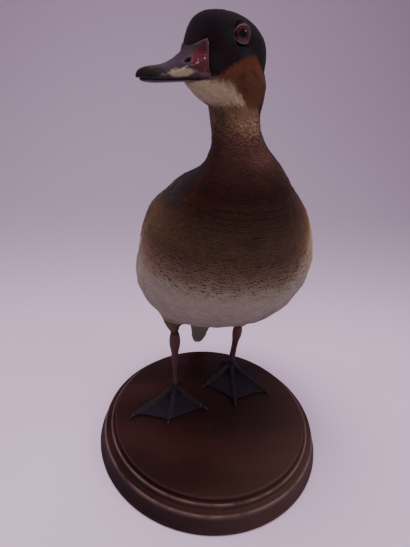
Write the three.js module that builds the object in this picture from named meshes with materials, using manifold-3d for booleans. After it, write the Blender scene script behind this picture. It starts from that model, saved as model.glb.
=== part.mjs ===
// A mounted duck: a drake standing upright on a round turned base, its head turned to its right.
// Millimetres, +Z up. The origin is the middle of the base's underside, and the duck faces -Y,
// so its left side is +X. Heights of the bird are measured from the top of the base.
import * as THREE from "three";
import { mergeVertices } from "three/addons/utils/BufferGeometryUtils.js";
import Module from "manifold-3d";

const wasm = await Module();
wasm.setup();

// ---------- driving dimensions ----------
const BASE_RADIUS = 106.8; // at the floor
const TABLE_RADIUS = 92; // the raised round top that the duck stands on
const BASE_HEIGHT = 28.3;
const GAP = 0.3; // between neighbouring pieces
const TABLE_SIDES = 38;

const WING_PROUD = 1.2; // how far the folded wings stand out of the body
const WING_DEPTH = 3.8; // how thick they are
const NECK_TOP = 290; // where the neck is parted from the head
const NECK_FOOT = 262; // and from the trunk
const TAIL_ROOT = 3.6; // where the tail is parted, as a place along the spine's rows
const SHOULDER_PLACE = 12;
const SQUARENESS = 2.15; // of the body's sections: 2 would be round
const SHOULDER = 0.6; // how much squarer the back is at the shoulders

const HEAD_TURN = 48; // degrees to the duck's right
const HEAD_ROLL = 3; // degrees, its left side up
const EYE_MIDDLE = [-19.3, -13.3, 323.7]; // halfway between the eyes: the head's own origin
const EYE_RADIUS = 6.8;
const EYE_SPREAD = 10.6; // from the middle of the head to the middle of an eye
const EYE_FORWARD = 1.5;
const SOCKET_RADIUS = 9; // of the shallow dish round an eye
const SOCKET_SPREAD = 22.6; // from the middle of the head to the middle of that dish
const MOUTH_HEIGHT = -23.3; // the line between the two halves of the bill

const ANKLE_RADIUS = 4.8;
const TARSUS_RADIUS = 2.7;
const TOE_RADIUS = 2.5;
const WEB_THICKNESS = 1.7;

const { sin, cos, abs, sign, pow, min, max, floor, PI } = Math;
const vec = (x, y, z) => new THREE.Vector3(x, y, z);
const radians = THREE.MathUtils.degToRad;
const UP = vec(0, 0, 1);

// ---------- solids ----------

/** A solid from a closed geometry. */
function solid(geometry) {
  const bare = geometry.clone();
  bare.deleteAttribute("normal");
  bare.deleteAttribute("uv");
  const merged = mergeVertices(bare, 1e-4);
  return new wasm.Manifold(
    new wasm.Mesh({
      numProp: 3,
      vertProperties: merged.attributes.position.array,
      triVerts: new Uint32Array(merged.index.array),
    }),
  );
}

/** The geometry of a solid. */
function geometryOf(made) {
  const mesh = made.getMesh();
  const geometry = new THREE.BufferGeometry();
  geometry.setAttribute("position", new THREE.BufferAttribute(mesh.vertProperties, 3));
  geometry.setIndex(new THREE.BufferAttribute(mesh.triVerts, 1));
  geometry.computeVertexNormals();
  return geometry;
}

/** A solid through rings of points, all of one length, closed at both ends to their middles. */
function ringSolid(rings) {
  const sides = rings[0].length;
  const middle = (ring) => ring.reduce((sum, p) => sum.add(p), vec(0, 0, 0)).divideScalar(sides);
  const points = [...rings.flat(), middle(rings[0]), middle(rings.at(-1))];
  const [firstPole, lastPole] = [points.length - 2, points.length - 1];
  const lastRing = (rings.length - 1) * sides;
  const faces = [];
  for (let j = 0; j < sides; j++) {
    const k = (j + 1) % sides;
    for (let start = 0; start < lastRing; start += sides) {
      const [a, b, c, d] = [start + j, start + k, start + sides + j, start + sides + k];
      faces.push(a, b, d, a, d, c);
    }
    faces.push(firstPole, k, j, lastPole, lastRing + j, lastRing + k);
  }
  const geometry = new THREE.BufferGeometry().setFromPoints(points);
  const made = solid(geometry.setIndex(faces));
  return made.volume() > 0 ? made : solid(geometry.setIndex(faces.reverse()));
}

/** Rings of point(t, angle) for t between two ends, joined up. */
function loft(point, from, to, steps, sides) {
  const ring = (t) => Array.from({ length: sides }, (_, j) => point(t, (2 * PI * j) / sides));
  const rings = Array.from({ length: steps + 1 }, (_, i) => ring(from + ((to - from) * i) / steps));
  return ringSolid(rings);
}

/** A smooth way through rows of numbers: row(t) for t from 0 to rows.length - 1. */
function smoothRows(rows) {
  const at = (i) => rows[max(0, min(rows.length - 1, i))];
  return (t) => {
    const i = min(rows.length - 2, max(0, floor(t)));
    const f = t - i;
    return rows[0].map((_, n) => {
      const [p, q, r, s] = [at(i - 1)[n], at(i)[n], at(i + 1)[n], at(i + 2)[n]];
      const bend = 2 * p - 5 * q + 4 * r - s;
      return q + 0.5 * f * (r - p + f * (bend + f * (3 * (q - r) + s - p)));
    });
  };
}

/** A point of a rounded section: half width, heights above and below its middle, squareness. */
function sectionPoint(angle, width, above, below, squareness) {
  const [c, s] = [cos(angle), sin(angle)];
  return [
    width * sign(c) * pow(abs(c), 2 / squareness),
    (s > 0 ? above : below) * sign(s) * pow(abs(s), 2 / squareness),
  ];
}

/** The part of a solid on the normal's side of a plane, held back half a gap from it. */
function beyond(made, normal, through) {
  const n = normal.clone().normalize();
  return made.trimByPlane([n.x, n.y, n.z], n.dot(through) + GAP / 2);
}
const before = (made, normal, through) => beyond(made, normal.clone().negate(), through);

/** The largest of the separate parts of a cut solid, without any crumbs. */
const largest = (made) => made.decompose().reduce((a, b) => (a.volume() > b.volume() ? a : b));

// ---------- body ----------

// From the tip of the tail to inside the head:
// back, height, shift to the left, half width, depth towards the back, depth towards the belly.
const SPINE = [
  [121.5, -10, 0, 4, 0.9, 0.9],
  [118, -2, 0, 9, 1.2, 1.2],
  [112, 14, 0, 11.5, 2, 2.4],
  [104, 31, 0, 15, 4.5, 6],
  [95, 49, 0, 24, 9, 12],
  [85, 69, 0, 45, 20, 24],
  [73, 91, 0.5, 60, 32, 38.5],
  [58, 114, 0.4, 68.2, 41, 48.5],
  [41, 136, -1.4, 73.4, 46.5, 55],
  [24, 158, 1.6, 72.7, 50, 59],
  [7, 180, 1.4, 70.3, 47.5, 58],
  [-9, 200, -1, 62.4, 42, 50],
  [-19, 218, -1.6, 50.8, 34.5, 42],
  [-25, 235, -3, 39.6, 31.5, 32],
  [-25, 249, -1.6, 28.4, 28.5, 22],
  [-21, 262, -5.6, 19.2, 18, 16.5],
  [-15, 275, -8.8, 16.4, 17.5, 15.5],
  [-10, 288, -8.8, 19.4, 18.5, 15.5],
  [-7, 301, -8.6, 19.4, 18, 15],
  [-6, 312, -9, 13, 13, 11],
];
const spineRow = smoothRows(SPINE);

/** A point of the body's surface, grown outwards. Angle 0 is the left, a right angle the back. */
function bodyPoint(t, angle, grow = 0) {
  const [y, z, shift, width, back, belly] = spineRow(t);
  const [yBehind, zBehind] = spineRow(max(0, t - 0.05));
  const [yAhead, zAhead] = spineRow(min(SPINE.length - 1, t + 0.05));
  const along = vec(0, yAhead - yBehind, zAhead - zBehind).normalize();
  const shoulder = angle < PI ? SHOULDER * pow(max(0, cos((t - SHOULDER_PLACE) / 3)), 2) : 0;
  const squareness = SQUARENESS + shoulder;
  const [x, h] = sectionPoint(angle, width + grow, back + grow, belly + grow, squareness);
  return vec(shift + x, y + along.z * h, z - along.y * h);
}

/** The folded wing's outline on the body: first and last angle, in degrees, from shoulder to tip. */
const WING_EDGES = [
  [36, 60],
  [24, 68],
  [13, 76],
  [8, 80],
  [6, 82],
  [8, 83],
  [14, 84],
  [26, 84],
  [44, 82],
];
const WING_SPAN = [13.4, 2.6]; // its shoulder and its tip, as places along the spine

/** A folded wing: side 1 is the left one. */
function wingSolid(side, grow) {
  const edge = smoothRows(WING_EDGES);
  const across = 9;
  const stretch = grow / 60;
  const ring = (u) => {
    const [low, high] = edge(u * (WING_EDGES.length - 1));
    const t = THREE.MathUtils.lerp(...WING_SPAN, u);
    const arc = (depth) => (_, j) => {
      const v = j / (across - 1);
      const up = radians(THREE.MathUtils.lerp(low, high, v)) + stretch * (2 * v - 1);
      const angle = side > 0 ? up : PI - up;
      return bodyPoint(t, angle, depth * pow(sin(PI * (0.08 + 0.84 * v)), 0.4));
    };
    const outer = Array.from({ length: across }, arc(WING_PROUD + grow));
    const inner = Array.from({ length: across }, arc(WING_PROUD - WING_DEPTH - grow)).reverse();
    return [...outer, ...inner];
  };
  const steps = 12;
  const reach = grow / 100;
  const place = (i) => -reach + ((1 + 2 * reach) * i) / steps;
  return ringSolid(Array.from({ length: steps + 1 }, (_, i) => ring(place(i))));
}

// ---------- head ----------

const headSpin = new THREE.Matrix4()
  .makeTranslation(...EYE_MIDDLE)
  .multiply(new THREE.Matrix4().makeRotationZ(radians(-HEAD_TURN)))
  .multiply(new THREE.Matrix4().makeRotationY(radians(-HEAD_ROLL)));

/** A point given by how far forward, left and up it is from the middle of the eyes. */
const headPoint = (forward, left, up) => vec(left, -forward, up).applyMatrix4(headSpin);
const headDirection = (forward, left, up) => headPoint(forward, left, up).sub(headPoint(0, 0, 0));

// Forward, middle height, half width, height above, depth below.
const SKULL = [
  [-35, -14, 3, 4, 6],
  [-33, -13, 8, 9, 14],
  [-27, -11, 12.5, 14.5, 24],
  [-16, -9, 15.2, 18.4, 32],
  [-4, -7.5, 16.4, 19.9, 36],
  [6, -6.8, 16.6, 19.8, 35],
  [13, -7.2, 16.2, 20, 32],
  [20, -8.8, 14.8, 20, 27],
  [25, -11, 12, 17.8, 21],
  [30, -13.5, 8.8, 11, 15.8],
  [35, -16, 5.4, 5, 9.6],
];
const UPPER_BILL = [
  [20, -14, 9.6, 10, 12],
  [25, -14, 10.7, 9, 12],
  [31, -14.6, 10, 6.7, 12],
  [37.5, -16.4, 9, 4.7, 10],
  [45, -19, 8.4, 3.9, 8],
  [53, -20.5, 8.8, 3.7, 6],
  [59.5, -21.2, 9.2, 3.8, 4.4],
  [64, -22, 7.9, 3.3, 3],
  [66.3, -23, 4.8, 2.1, 2.2],
];
const LOWER_BILL = [
  [20, -22.8, 7.2, 2, 1.7],
  [34, -22.8, 7.6, 2, 1.9],
  [48, -22.8, 7.4, 2, 2.3],
  [57, -22.8, 7.8, 2, 2.4],
  [62.5, -22.8, 6.4, 2, 2.3],
  [65.3, -22.8, 3.8, 1, 1.7],
];

/** A solid of the head through rows of sections. */
function headSolid(rows, steps, sides, squareness, grow = 0) {
  const row = smoothRows(rows);
  const point = (t, angle) => {
    const [forward, height, width, above, below] = row(t);
    const [x, y] = sectionPoint(angle, width + grow, above + grow, below + grow, squareness);
    const end = t < 0.01 ? -grow : t > rows.length - 1.01 ? grow : 0;
    return headPoint(forward + end, x, height + y);
  };
  return loft(point, 0, rows.length - 1, steps, sides);
}

/** A ball at the height of the eyes, out to one side of the head. */
function ballSolid(side, radius, spread) {
  const ball = new THREE.SphereGeometry(radius, 13, 8);
  const place = headPoint(EYE_FORWARD, side * spread, 0);
  return solid(ball.translate(place.x, place.y, place.z));
}
const eyeSolid = (side, grow = 0) => ballSolid(side, EYE_RADIUS + grow, EYE_SPREAD);
const socketSolid = (side) => ballSolid(side, SOCKET_RADIUS, SOCKET_SPREAD);

// ---------- legs ----------

/** A round solid through rows of x, y, z, half width and half depth. */
function limb(rows, steps, sides, grow = 0) {
  const row = smoothRows(rows);
  const point = (t, angle) => {
    const [x, y, z, width, depth] = row(t);
    return vec(x + (width + grow) * cos(angle), y + (depth + grow) * sin(angle), z);
  };
  return loft(point, 0, rows.length - 1, steps, sides);
}

const LEGS = {
  right: {
    ankle: vec(-35, 46.4, 57),
    foot: vec(-33.4, 30.5, 6),
    tips: [vec(-4.1, 0.2, 1.2), vec(-42.2, -16.2, 1.2), vec(-76.1, -6.3, 1.2)],
    hind: vec(-27, 40, 3.2),
    thigh: [
      [-36, 30, 112, 17, 20],
      [-38, 36, 98, 15, 18],
      [-39.2, 41, 84, 10.5, 13],
      [-38, 44.3, 72, 7.2, 8.6],
      [-36.2, 46, 65, 5.2, 6.2],
      [-35.2, 46.4, 60.6, 4.2, 5],
    ],
  },
  left: {
    ankle: vec(32.6, 59.6, 57),
    foot: vec(31.4, 64.5, 6),
    tips: [vec(-3.7, 31.3, 1.2), vec(26.2, 6.2, 1.2), vec(63.7, 18.8, 1.2)],
    hind: vec(22.8, 71, 3.2),
    thigh: [
      [36, 40, 112, 17, 20],
      [38, 47, 98, 15, 18],
      [38.6, 53, 84, 10.5, 13],
      [37.4, 56.6, 72, 7.2, 8.6],
      [35.6, 58.8, 65, 5.2, 6.2],
      [34.4, 59.4, 60.6, 4.2, 5],
    ],
  },
};

/** The scaled part of a leg, from the ankle to just above the foot. */
function tarsus({ ankle, foot }, grow = 0) {
  const end = grow / 40;
  const row = (f, width, depth) => [...ankle.clone().lerp(foot, f).toArray(), width, depth];
  const rows = [
    row(-0.05 - end, ANKLE_RADIUS - 1.3, ANKLE_RADIUS - 0.7),
    row(0.03, ANKLE_RADIUS - 0.4, ANKLE_RADIUS + 0.2),
    row(0.15, ANKLE_RADIUS, ANKLE_RADIUS + 0.8),
    row(0.33, TARSUS_RADIUS + 0.5, TARSUS_RADIUS + 1.2),
    row(0.55, TARSUS_RADIUS, TARSUS_RADIUS + 0.7),
    row(0.8, TARSUS_RADIUS + 0.1, TARSUS_RADIUS + 0.8),
    row(1 + end, TARSUS_RADIUS + 0.9, TARSUS_RADIUS + 1.2),
  ];
  return limb(rows, 8, 10, grow);
}

/** One toe, with its claw, from the foot's joint to the claw's tip, in the air over the base. */
function toe(from, tip, radius, sides) {
  const across = tip.clone().sub(from).cross(UP).normalize();
  const length = from.distanceTo(tip);
  const claw = 1 - 4.8 / length;
  const rows = [
    [0, radius + 0.7, 0],
    [0.22, radius, -0.6],
    [0.34, radius + 0.3, 0],
    [0.55, radius - 0.4, -0.4],
    [0.64, radius - 0.1, 0],
    [claw - 0.04, radius - 0.7, 0],
    [claw, radius - 0.9, 0.3],
    [claw + 0.01, radius - 1.5, 0.4],
    [1, 0.45, -0.5],
  ];
  const row = smoothRows(rows);
  const point = (t, angle) => {
    const [f, r, lift] = row(t);
    const middle = from.clone().lerp(tip, f);
    middle.z = max(middle.z * (1 - f) ** 1.5, r * 0.8) + lift;
    return middle.addScaledVector(across, r * cos(angle)).addScaledVector(UP, r * sin(angle));
  };
  return loft(point, 0, rows.length - 1, 9, sides);
}

/** The skin between two toes, with a hollow front edge. */
function web(from, tipA, tipB) {
  const reach = 0.9;
  const a = from.clone().lerp(tipA, reach);
  const b = from.clone().lerp(tipB, reach);
  const hollow = a.clone().lerp(b, 0.5).lerp(from, 0.05);
  const shape = new THREE.Shape()
    .moveTo(from.x, from.y)
    .lineTo(a.x, a.y)
    .quadraticCurveTo(hollow.x, hollow.y, b.x, b.y)
    .closePath();
  const plate = { depth: WEB_THICKNESS, bevelEnabled: false, curveSegments: 5 };
  return solid(new THREE.ExtrudeGeometry(shape, plate).translate(0, 0, GAP));
}

/** A webbed foot: three toes forward, their webs and the small hind toe. */
function footSolid({ foot, tips, hind }) {
  const toes = tips.map((tip) => toe(foot, tip, TOE_RADIUS, 7));
  const webs = [web(foot, tips[0], tips[1]), web(foot, tips[1], tips[2])];
  const back = toe(foot.clone().setZ(7), hind, TOE_RADIUS - 0.7, 6);
  const whole = [...toes, ...webs, back].reduce((sum, piece) => sum.add(piece));
  return whole.trimByPlane([0, 0, 1], GAP);
}

// ---------- base ----------

/** The turned base: a raised table, a bead, a ledge and a flared foot. */
function baseGeometry() {
  const shoulder = BASE_HEIGHT - 10;
  const outline = [
    [0, 0],
    [BASE_RADIUS - 1, 0],
    [BASE_RADIUS, 1.2],
    [BASE_RADIUS - 1.6, 7],
    [BASE_RADIUS - 4, shoulder - 3.3],
    [BASE_RADIUS - 5.2, shoulder - 0.7],
    [BASE_RADIUS - 6.8, shoulder],
    [TABLE_RADIUS + 4.6, shoulder + 0.2],
    [TABLE_RADIUS + 4.2, shoulder + 3.3],
    [TABLE_RADIUS + 3, shoulder + 4.7],
    [TABLE_RADIUS, shoulder + 4.9],
    [TABLE_RADIUS, BASE_HEIGHT - 1],
    [TABLE_RADIUS - 1, BASE_HEIGHT],
    [0, BASE_HEIGHT],
  ].map(([r, z]) => new THREE.Vector2(r, z));
  return new THREE.LatheGeometry(outline, TABLE_SIDES).rotateX(PI / 2);
}

// ---------- the whole ----------

const object = new THREE.Group();
const bird = new THREE.Group();
bird.position.z = BASE_HEIGHT;
object.add(bird);

const finish = (color, roughness) => new THREE.MeshStandardMaterial({ color, roughness });
const FEATHER = {
  head: finish(0x2b2422, 0.75),
  neck: finish(0x7a5236, 0.85),
  trunk: finish(0x5d3b33, 0.9),
  wing: finish(0x3f3733, 0.8),
  tail: finish(0x2e2824, 0.8),
  thigh: finish(0x5a4a38, 0.9),
};
const BILL = finish(0x3a2b30, 0.45);
const EYE = finish(0x3a0d10, 0.1);
const LEG = finish(0x35211f, 0.6);
const WOOD = finish(0x3a2322, 0.45);

function add(parent, name, geometry, material) {
  const mesh = new THREE.Mesh(geometry, material);
  mesh.name = name;
  parent.add(mesh);
}

const tailRoot = bodyPoint(TAIL_ROOT, 0).setX(0);
const tailward = bodyPoint(TAIL_ROOT - 0.5, 0).setX(0).sub(tailRoot);
const throat = vec(0, -5, NECK_TOP);
const throatUp = headDirection(0.25, 0, 1);
const neckFoot = vec(0, -21, NECK_FOOT);
const neckUp = vec(0, 0.35, 1);

const loose = (grow) => loft((t, angle) => bodyPoint(t, angle, grow), 0, SPINE.length - 1, 28, 24);
const upperBill = (grow) => headSolid(UPPER_BILL, 14, 16, 2.3, grow);
const lowerBill = (grow) => headSolid(LOWER_BILL, 9, 14, 2.3, grow);
const mouth = headPoint(0, 0, MOUTH_HEIGHT);
const mouthUp = headDirection(0, 0, 1);

const body = loose(0);
const skull = headSolid(SKULL, 14, 18, 2.45);
let tail = beyond(body, tailward, tailRoot);
let trunk = before(before(body, tailward, tailRoot), neckUp, neckFoot);
const neck = before(beyond(body, neckUp, neckFoot), throatUp, throat);
let head = beyond(body.add(skull), throatUp, throat);
head = head.subtract(upperBill(GAP)).subtract(lowerBill(GAP));

const SIDES = { left: 1, right: -1 };
for (const [name, side] of Object.entries(SIDES)) {
  const leg = LEGS[name];
  const wing = wingSolid(side, 0);
  const wingRoom = wingSolid(side, GAP).add(wing);
  const tarsusRoom = tarsus(leg, GAP);
  trunk = trunk.subtract(wingRoom);
  tail = tail.subtract(wingRoom);
  head = head.subtract(eyeSolid(side, GAP)).subtract(socketSolid(side));
  const thigh = limb(leg.thigh, 8, 14).subtract(loose(GAP)).subtract(tarsusRoom);
  add(bird, `eye_${name}`, geometryOf(eyeSolid(side)), EYE);
  add(bird, `wing_${name}`, geometryOf(wing), FEATHER.wing);
  add(bird, `thigh_${name}`, geometryOf(thigh), FEATHER.thigh);
  add(bird, `leg_${name}`, geometryOf(tarsus(leg)), LEG);
  add(bird, `foot_${name}`, geometryOf(footSolid(leg).subtract(tarsusRoom)), LEG);
}
add(bird, "trunk", geometryOf(largest(trunk)), FEATHER.trunk);
add(bird, "neck", geometryOf(neck), FEATHER.neck);
add(bird, "head", geometryOf(head), FEATHER.head);
add(bird, "tail", geometryOf(tail), FEATHER.tail);
add(bird, "bill_upper", geometryOf(beyond(upperBill(0), mouthUp, mouth)), BILL);
add(bird, "bill_lower", geometryOf(before(lowerBill(0), mouthUp, mouth)), BILL);
add(object, "base", baseGeometry(), WOOD);

export default object;
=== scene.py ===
"""A mounted hybrid wood duck on a turned wooden base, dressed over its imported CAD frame."""

import logging
import math
from collections.abc import Iterator
from contextlib import contextmanager
from dataclasses import dataclass, field
from enum import Enum

import bpy
import numpy as np
from mathutils import Matrix, Vector
from mathutils.bvhtree import BVHTree


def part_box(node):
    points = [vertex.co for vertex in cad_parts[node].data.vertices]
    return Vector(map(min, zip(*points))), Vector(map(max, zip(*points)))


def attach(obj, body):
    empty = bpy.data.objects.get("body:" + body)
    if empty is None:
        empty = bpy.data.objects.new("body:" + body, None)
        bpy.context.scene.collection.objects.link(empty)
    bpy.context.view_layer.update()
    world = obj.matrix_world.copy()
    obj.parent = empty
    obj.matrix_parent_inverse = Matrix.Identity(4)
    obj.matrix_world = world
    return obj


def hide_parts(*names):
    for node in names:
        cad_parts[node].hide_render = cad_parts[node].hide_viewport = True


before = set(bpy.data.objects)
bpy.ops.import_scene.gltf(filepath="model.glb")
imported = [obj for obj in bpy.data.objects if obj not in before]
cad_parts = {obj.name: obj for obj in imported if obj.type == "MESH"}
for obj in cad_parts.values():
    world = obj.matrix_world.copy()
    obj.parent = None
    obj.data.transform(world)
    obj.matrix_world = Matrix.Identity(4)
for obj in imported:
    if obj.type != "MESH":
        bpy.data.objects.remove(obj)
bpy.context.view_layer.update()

LOG = logging.getLogger("duck")
MM = 0.001
FLESH = ("trunk", "neck", "head", "thigh_left", "thigh_right", "wing_left", "wing_right", "tail")
BODY = "root"
TINT, MARKS, VANE_MAP, BAKE_MAP = "Tint", "Marks", "Vane", "OFBake"
BAKE_PATCH = 0.003
Array = np.ndarray
Random = np.random.Generator
Piece = bpy.types.Object
Material = bpy.types.Material


class Side(Enum):
    """The two sides of the bird, with the sign of their X."""

    LEFT = ("left", 1.0)
    RIGHT = ("right", -1.0)

    @property
    def word(self) -> str:
        """The side's name as the nodes have it."""
        return self.value[0]

    @property
    def sign(self) -> float:
        """Plus one on the left, minus one on the right."""
        return self.value[1]


# ---- numbers


def step(x: Array, low: float, high: float) -> Array:
    """Smooth step from 0 at low to 1 at high, either way round."""
    t = np.clip((np.asarray(x, float) - low) / (high - low), 0.0, 1.0)
    return t * t * (3.0 - 2.0 * t)


def hill(x: Array, middle: float, reach: float) -> Array:
    """A smooth bump of height 1 round middle that ends at reach."""
    return 1.0 - step(np.abs(np.asarray(x, float) - middle), 0.0, reach)


def unit(v: Array) -> Array:
    """Vectors at length 1."""
    return v / np.maximum(np.linalg.norm(v, axis=-1, keepdims=True), 1e-12)


def dye(code: str) -> Array:
    """A colour as light values."""
    seen = np.array([int(code[i : i + 2], 16) for i in (0, 2, 4)]) / 255.0
    return np.where(seen <= 0.04045, seen / 12.92, ((seen + 0.055) / 1.055) ** 2.4)


def over(under: Array, colour: Array, cover: Array) -> Array:
    """One colour, or n of them, laid over others as far as each of n covers says."""
    return under + (colour - under) * np.asarray(cover)[:, None]


def dyed(under: Array, *layers: tuple[str, Array]) -> Array:
    """Dyes laid over a colour in turn.

    Args:
        under: One linear colour, or n of them.
        layers: The code of each dye and how far it covers, n values.

    Returns:
        Linear colours.
    """
    for code, cover in layers:
        under = over(under, dye(code), cover)
    return under


def ramp(x: Array, stops: dict[float, str]) -> Array:
    """Colours along a scale."""
    codes = np.array([dye(code) for code in stops.values()])
    return np.stack([np.interp(x, list(stops), codes[:, k]) for k in range(3)], 1)


def waves(p: Array, pitch: float, seed: int) -> Array:
    """Soft blotches through space from a few crossed waves.

    Args:
        p: Places.
        pitch: Rough distance between blotches.
        seed: Which set of waves.

    Returns:
        Values from about -1 to 1.
    """
    rng = np.random.default_rng(seed)
    total = np.zeros(len(p))
    for _ in range(7):
        way = unit(rng.normal(size=3)) * (2.0 * np.pi / pitch) * rng.uniform(0.6, 1.6)
        total += np.sin(p @ way + rng.uniform(0.0, 6.28))
    return total / 3.5


# ---- meshes


def clear_selection() -> None:
    """Nothing is selected and nothing is in edit mode."""
    if bpy.context.object and bpy.context.object.mode != "OBJECT":
        bpy.ops.object.mode_set(mode="OBJECT")
    bpy.ops.object.select_all(action="DESELECT")


def pick(*objects: Piece) -> Piece:
    """Selects some objects alone.

    Args:
        objects: What to select; the first becomes active.

    Returns:
        The active object.
    """
    clear_selection()
    for one in objects:
        one.select_set(True)
    bpy.context.view_layer.objects.active = objects[0]
    return objects[0]


def apply_modifier(piece: Piece, kind: str, **settings: object) -> None:
    """Adds one modifier and applies it.

    Args:
        piece: The object.
        kind: The modifier's type.
        settings: Its settings.
    """
    pick(piece)
    bpy.ops.object.modifier_add(type=kind)
    modifier = piece.modifiers[-1]
    for name, value in settings.items():
        setattr(modifier, name, value)
    bpy.ops.object.modifier_apply(modifier=modifier.name)


@contextmanager
def editing(piece: Piece) -> Iterator[None]:
    """Edit mode on a piece alone, with all of it selected.

    Args:
        piece: The object.

    Yields:
        Nothing; object mode is back after the block.
    """
    pick(piece)
    bpy.ops.object.mode_set(mode="EDIT")
    bpy.ops.mesh.select_all(action="SELECT")
    yield
    bpy.ops.object.mode_set(mode="OBJECT")


def turn_out(piece: Piece) -> None:
    """Turns every face of a closed piece outward."""
    with editing(piece):
        bpy.ops.mesh.normals_make_consistent(inside=False)


def put(name: str, mesh: bpy.types.Mesh) -> Piece:
    """Puts a mesh into the scene as an object.

    Args:
        name: The object's name.
        mesh: Its mesh.

    Returns:
        The object, picked.
    """
    piece = bpy.data.objects.new(name, mesh)
    bpy.context.scene.collection.objects.link(piece)
    return pick(piece)


def drawn(name: str, line: list[tuple[float, float, float]]) -> Piece:
    """An open line of edges.

    Args:
        name: The object's name.
        line: Its places in order.

    Returns:
        The object.
    """
    mesh = bpy.data.meshes.new(name)
    mesh.from_pydata(line, [(i, i + 1) for i in range(len(line) - 1)], [])
    return put(name, mesh)


def solid_copy(node: str, swell: float = 0.0) -> Piece:
    """A merged copy of a CAD node.

    Args:
        node: The node's name.
        swell: How far its faces move outward.

    Returns:
        A closed mesh object of its own.
    """
    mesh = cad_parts[node].data.copy()
    mesh.materials.clear()
    piece = put("work_" + node, mesh)
    with editing(piece):
        bpy.ops.mesh.remove_doubles(threshold=2e-6)
        bpy.ops.mesh.normals_make_consistent(inside=False)
    if swell:
        apply_modifier(piece, "DISPLACE", strength=swell, mid_level=0.0)
    return piece


def join(pieces: list[Piece], name: str) -> Piece:
    """Joins objects into the first.

    Args:
        pieces: The objects.
        name: The name of the result.

    Returns:
        The joined object.
    """
    whole = pick(*pieces)
    if len(pieces) > 1:
        bpy.ops.object.join()
    whole.name = name
    whole.data.name = name
    return whole


def drop_crumbs(piece: Piece) -> None:
    """Keeps only the largest island of a mesh.

    Args:
        piece: The object.
    """
    ends = table(piece.data.edges, "vertices", 2, int).T
    label, last = np.arange(len(piece.data.vertices)), None
    while last is None or (label != last).any():
        last, label = label, label.copy()
        for end in ends:
            np.minimum.at(label, end, last[ends].min(0))
        label = label[label]
    names, counts = np.unique(label, return_counts=True)
    if len(names) == 1:
        return
    with editing(piece):
        bpy.ops.mesh.select_mode(type="VERT")
    piece.data.vertices.foreach_set("select", label != names[counts.argmax()])
    bpy.ops.object.mode_set(mode="EDIT")
    bpy.ops.mesh.delete(type="VERT")
    bpy.ops.object.mode_set(mode="OBJECT")


def table(items: object, name: str, columns: int, kind: type = float) -> Array:
    """One property of many mesh elements.

    Args:
        items: Vertices, edges, faces or corners.
        name: The property.
        columns: How many numbers it has.
        kind: Their type.

    Returns:
        A row for each element.
    """
    flat = np.zeros(len(items) * columns, kind)
    items.foreach_get(name, flat)
    return flat.reshape(-1, columns)


def places(piece: Piece) -> Array:
    """The places of an object's vertices, n by 3."""
    return table(piece.data.vertices, "co", 3)


def move_to(piece: Piece, new: Array) -> None:
    """Puts an object's vertices at new places."""
    piece.data.vertices.foreach_set("co", new.ravel())
    piece.data.update()


def normals(piece: Piece) -> Array:
    """The smooth normals of an object's vertices, n by 3."""
    return table(piece.data.vertex_normals, "vector", 3)


def search(piece: Piece) -> BVHTree:
    """A nearest-place search over an object's faces."""
    corners = [tuple(f.vertices) for f in piece.data.polygons]
    return BVHTree.FromPolygons([v.co for v in piece.data.vertices], corners)


def paint(piece: Piece, name: str, values: Array) -> None:
    """Stores a colour for each vertex.

    Args:
        piece: The object.
        name: The attribute's name.
        values: n by 3 or n by 4.
    """
    full = np.ones((len(values), 4), np.float32)
    full[:, : values.shape[1]] = values
    layer = piece.data.color_attributes.new(name, "FLOAT_COLOR", "POINT")
    layer.data.foreach_set("color", full.ravel())


def map_vertices(piece: Piece, name: str, values: Array) -> None:
    """Stores a UV map with one place for each vertex.

    Args:
        piece: The object.
        name: The map's name.
        values: n by 2.
    """
    corner = table(piece.data.loops, "vertex_index", 1, int)[:, 0]
    layer = piece.data.uv_layers.new(name=name)
    layer.data.foreach_set("uv", values[corner].astype(np.float32).ravel())


def smooth_shaded(piece: Piece) -> None:
    """Shades a piece smooth all over."""
    pick(piece)
    bpy.ops.object.shade_smooth()


def remeshed(piece: Piece, voxel: float, rounds: int) -> None:
    """Makes one even closed surface of a piece.

    Args:
        piece: The object.
        voxel: Size of its faces.
        rounds: Rounds of smoothing after it.
    """
    apply_modifier(piece, "REMESH", mode="VOXEL", voxel_size=voxel, adaptivity=0.0)
    drop_crumbs(piece)
    apply_modifier(piece, "SMOOTH", factor=0.5, iterations=rounds)


def install(piece: Piece, name: str, slot: str, material: Material, *nodes: str) -> Piece:
    """Names, dresses and parents a finished piece, hides its CAD nodes and logs its size.

    Args:
        piece: The object.
        name: Its name.
        slot: Not used.
        material: Its material.
        nodes: The CAD nodes that it stands for.

    Returns:
        The piece.
    """
    piece.name = name
    piece.data.name = name
    piece.data.materials.clear()
    piece.data.materials.append(material)
    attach(piece, BODY)
    if nodes:
        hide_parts(*nodes)
    corners = table(piece.data.polygons, "loop_total", 1, int)
    LOG.info("%s: %d triangles", name, (corners - 2).sum())
    return piece


# ---- shader arithmetic


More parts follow.
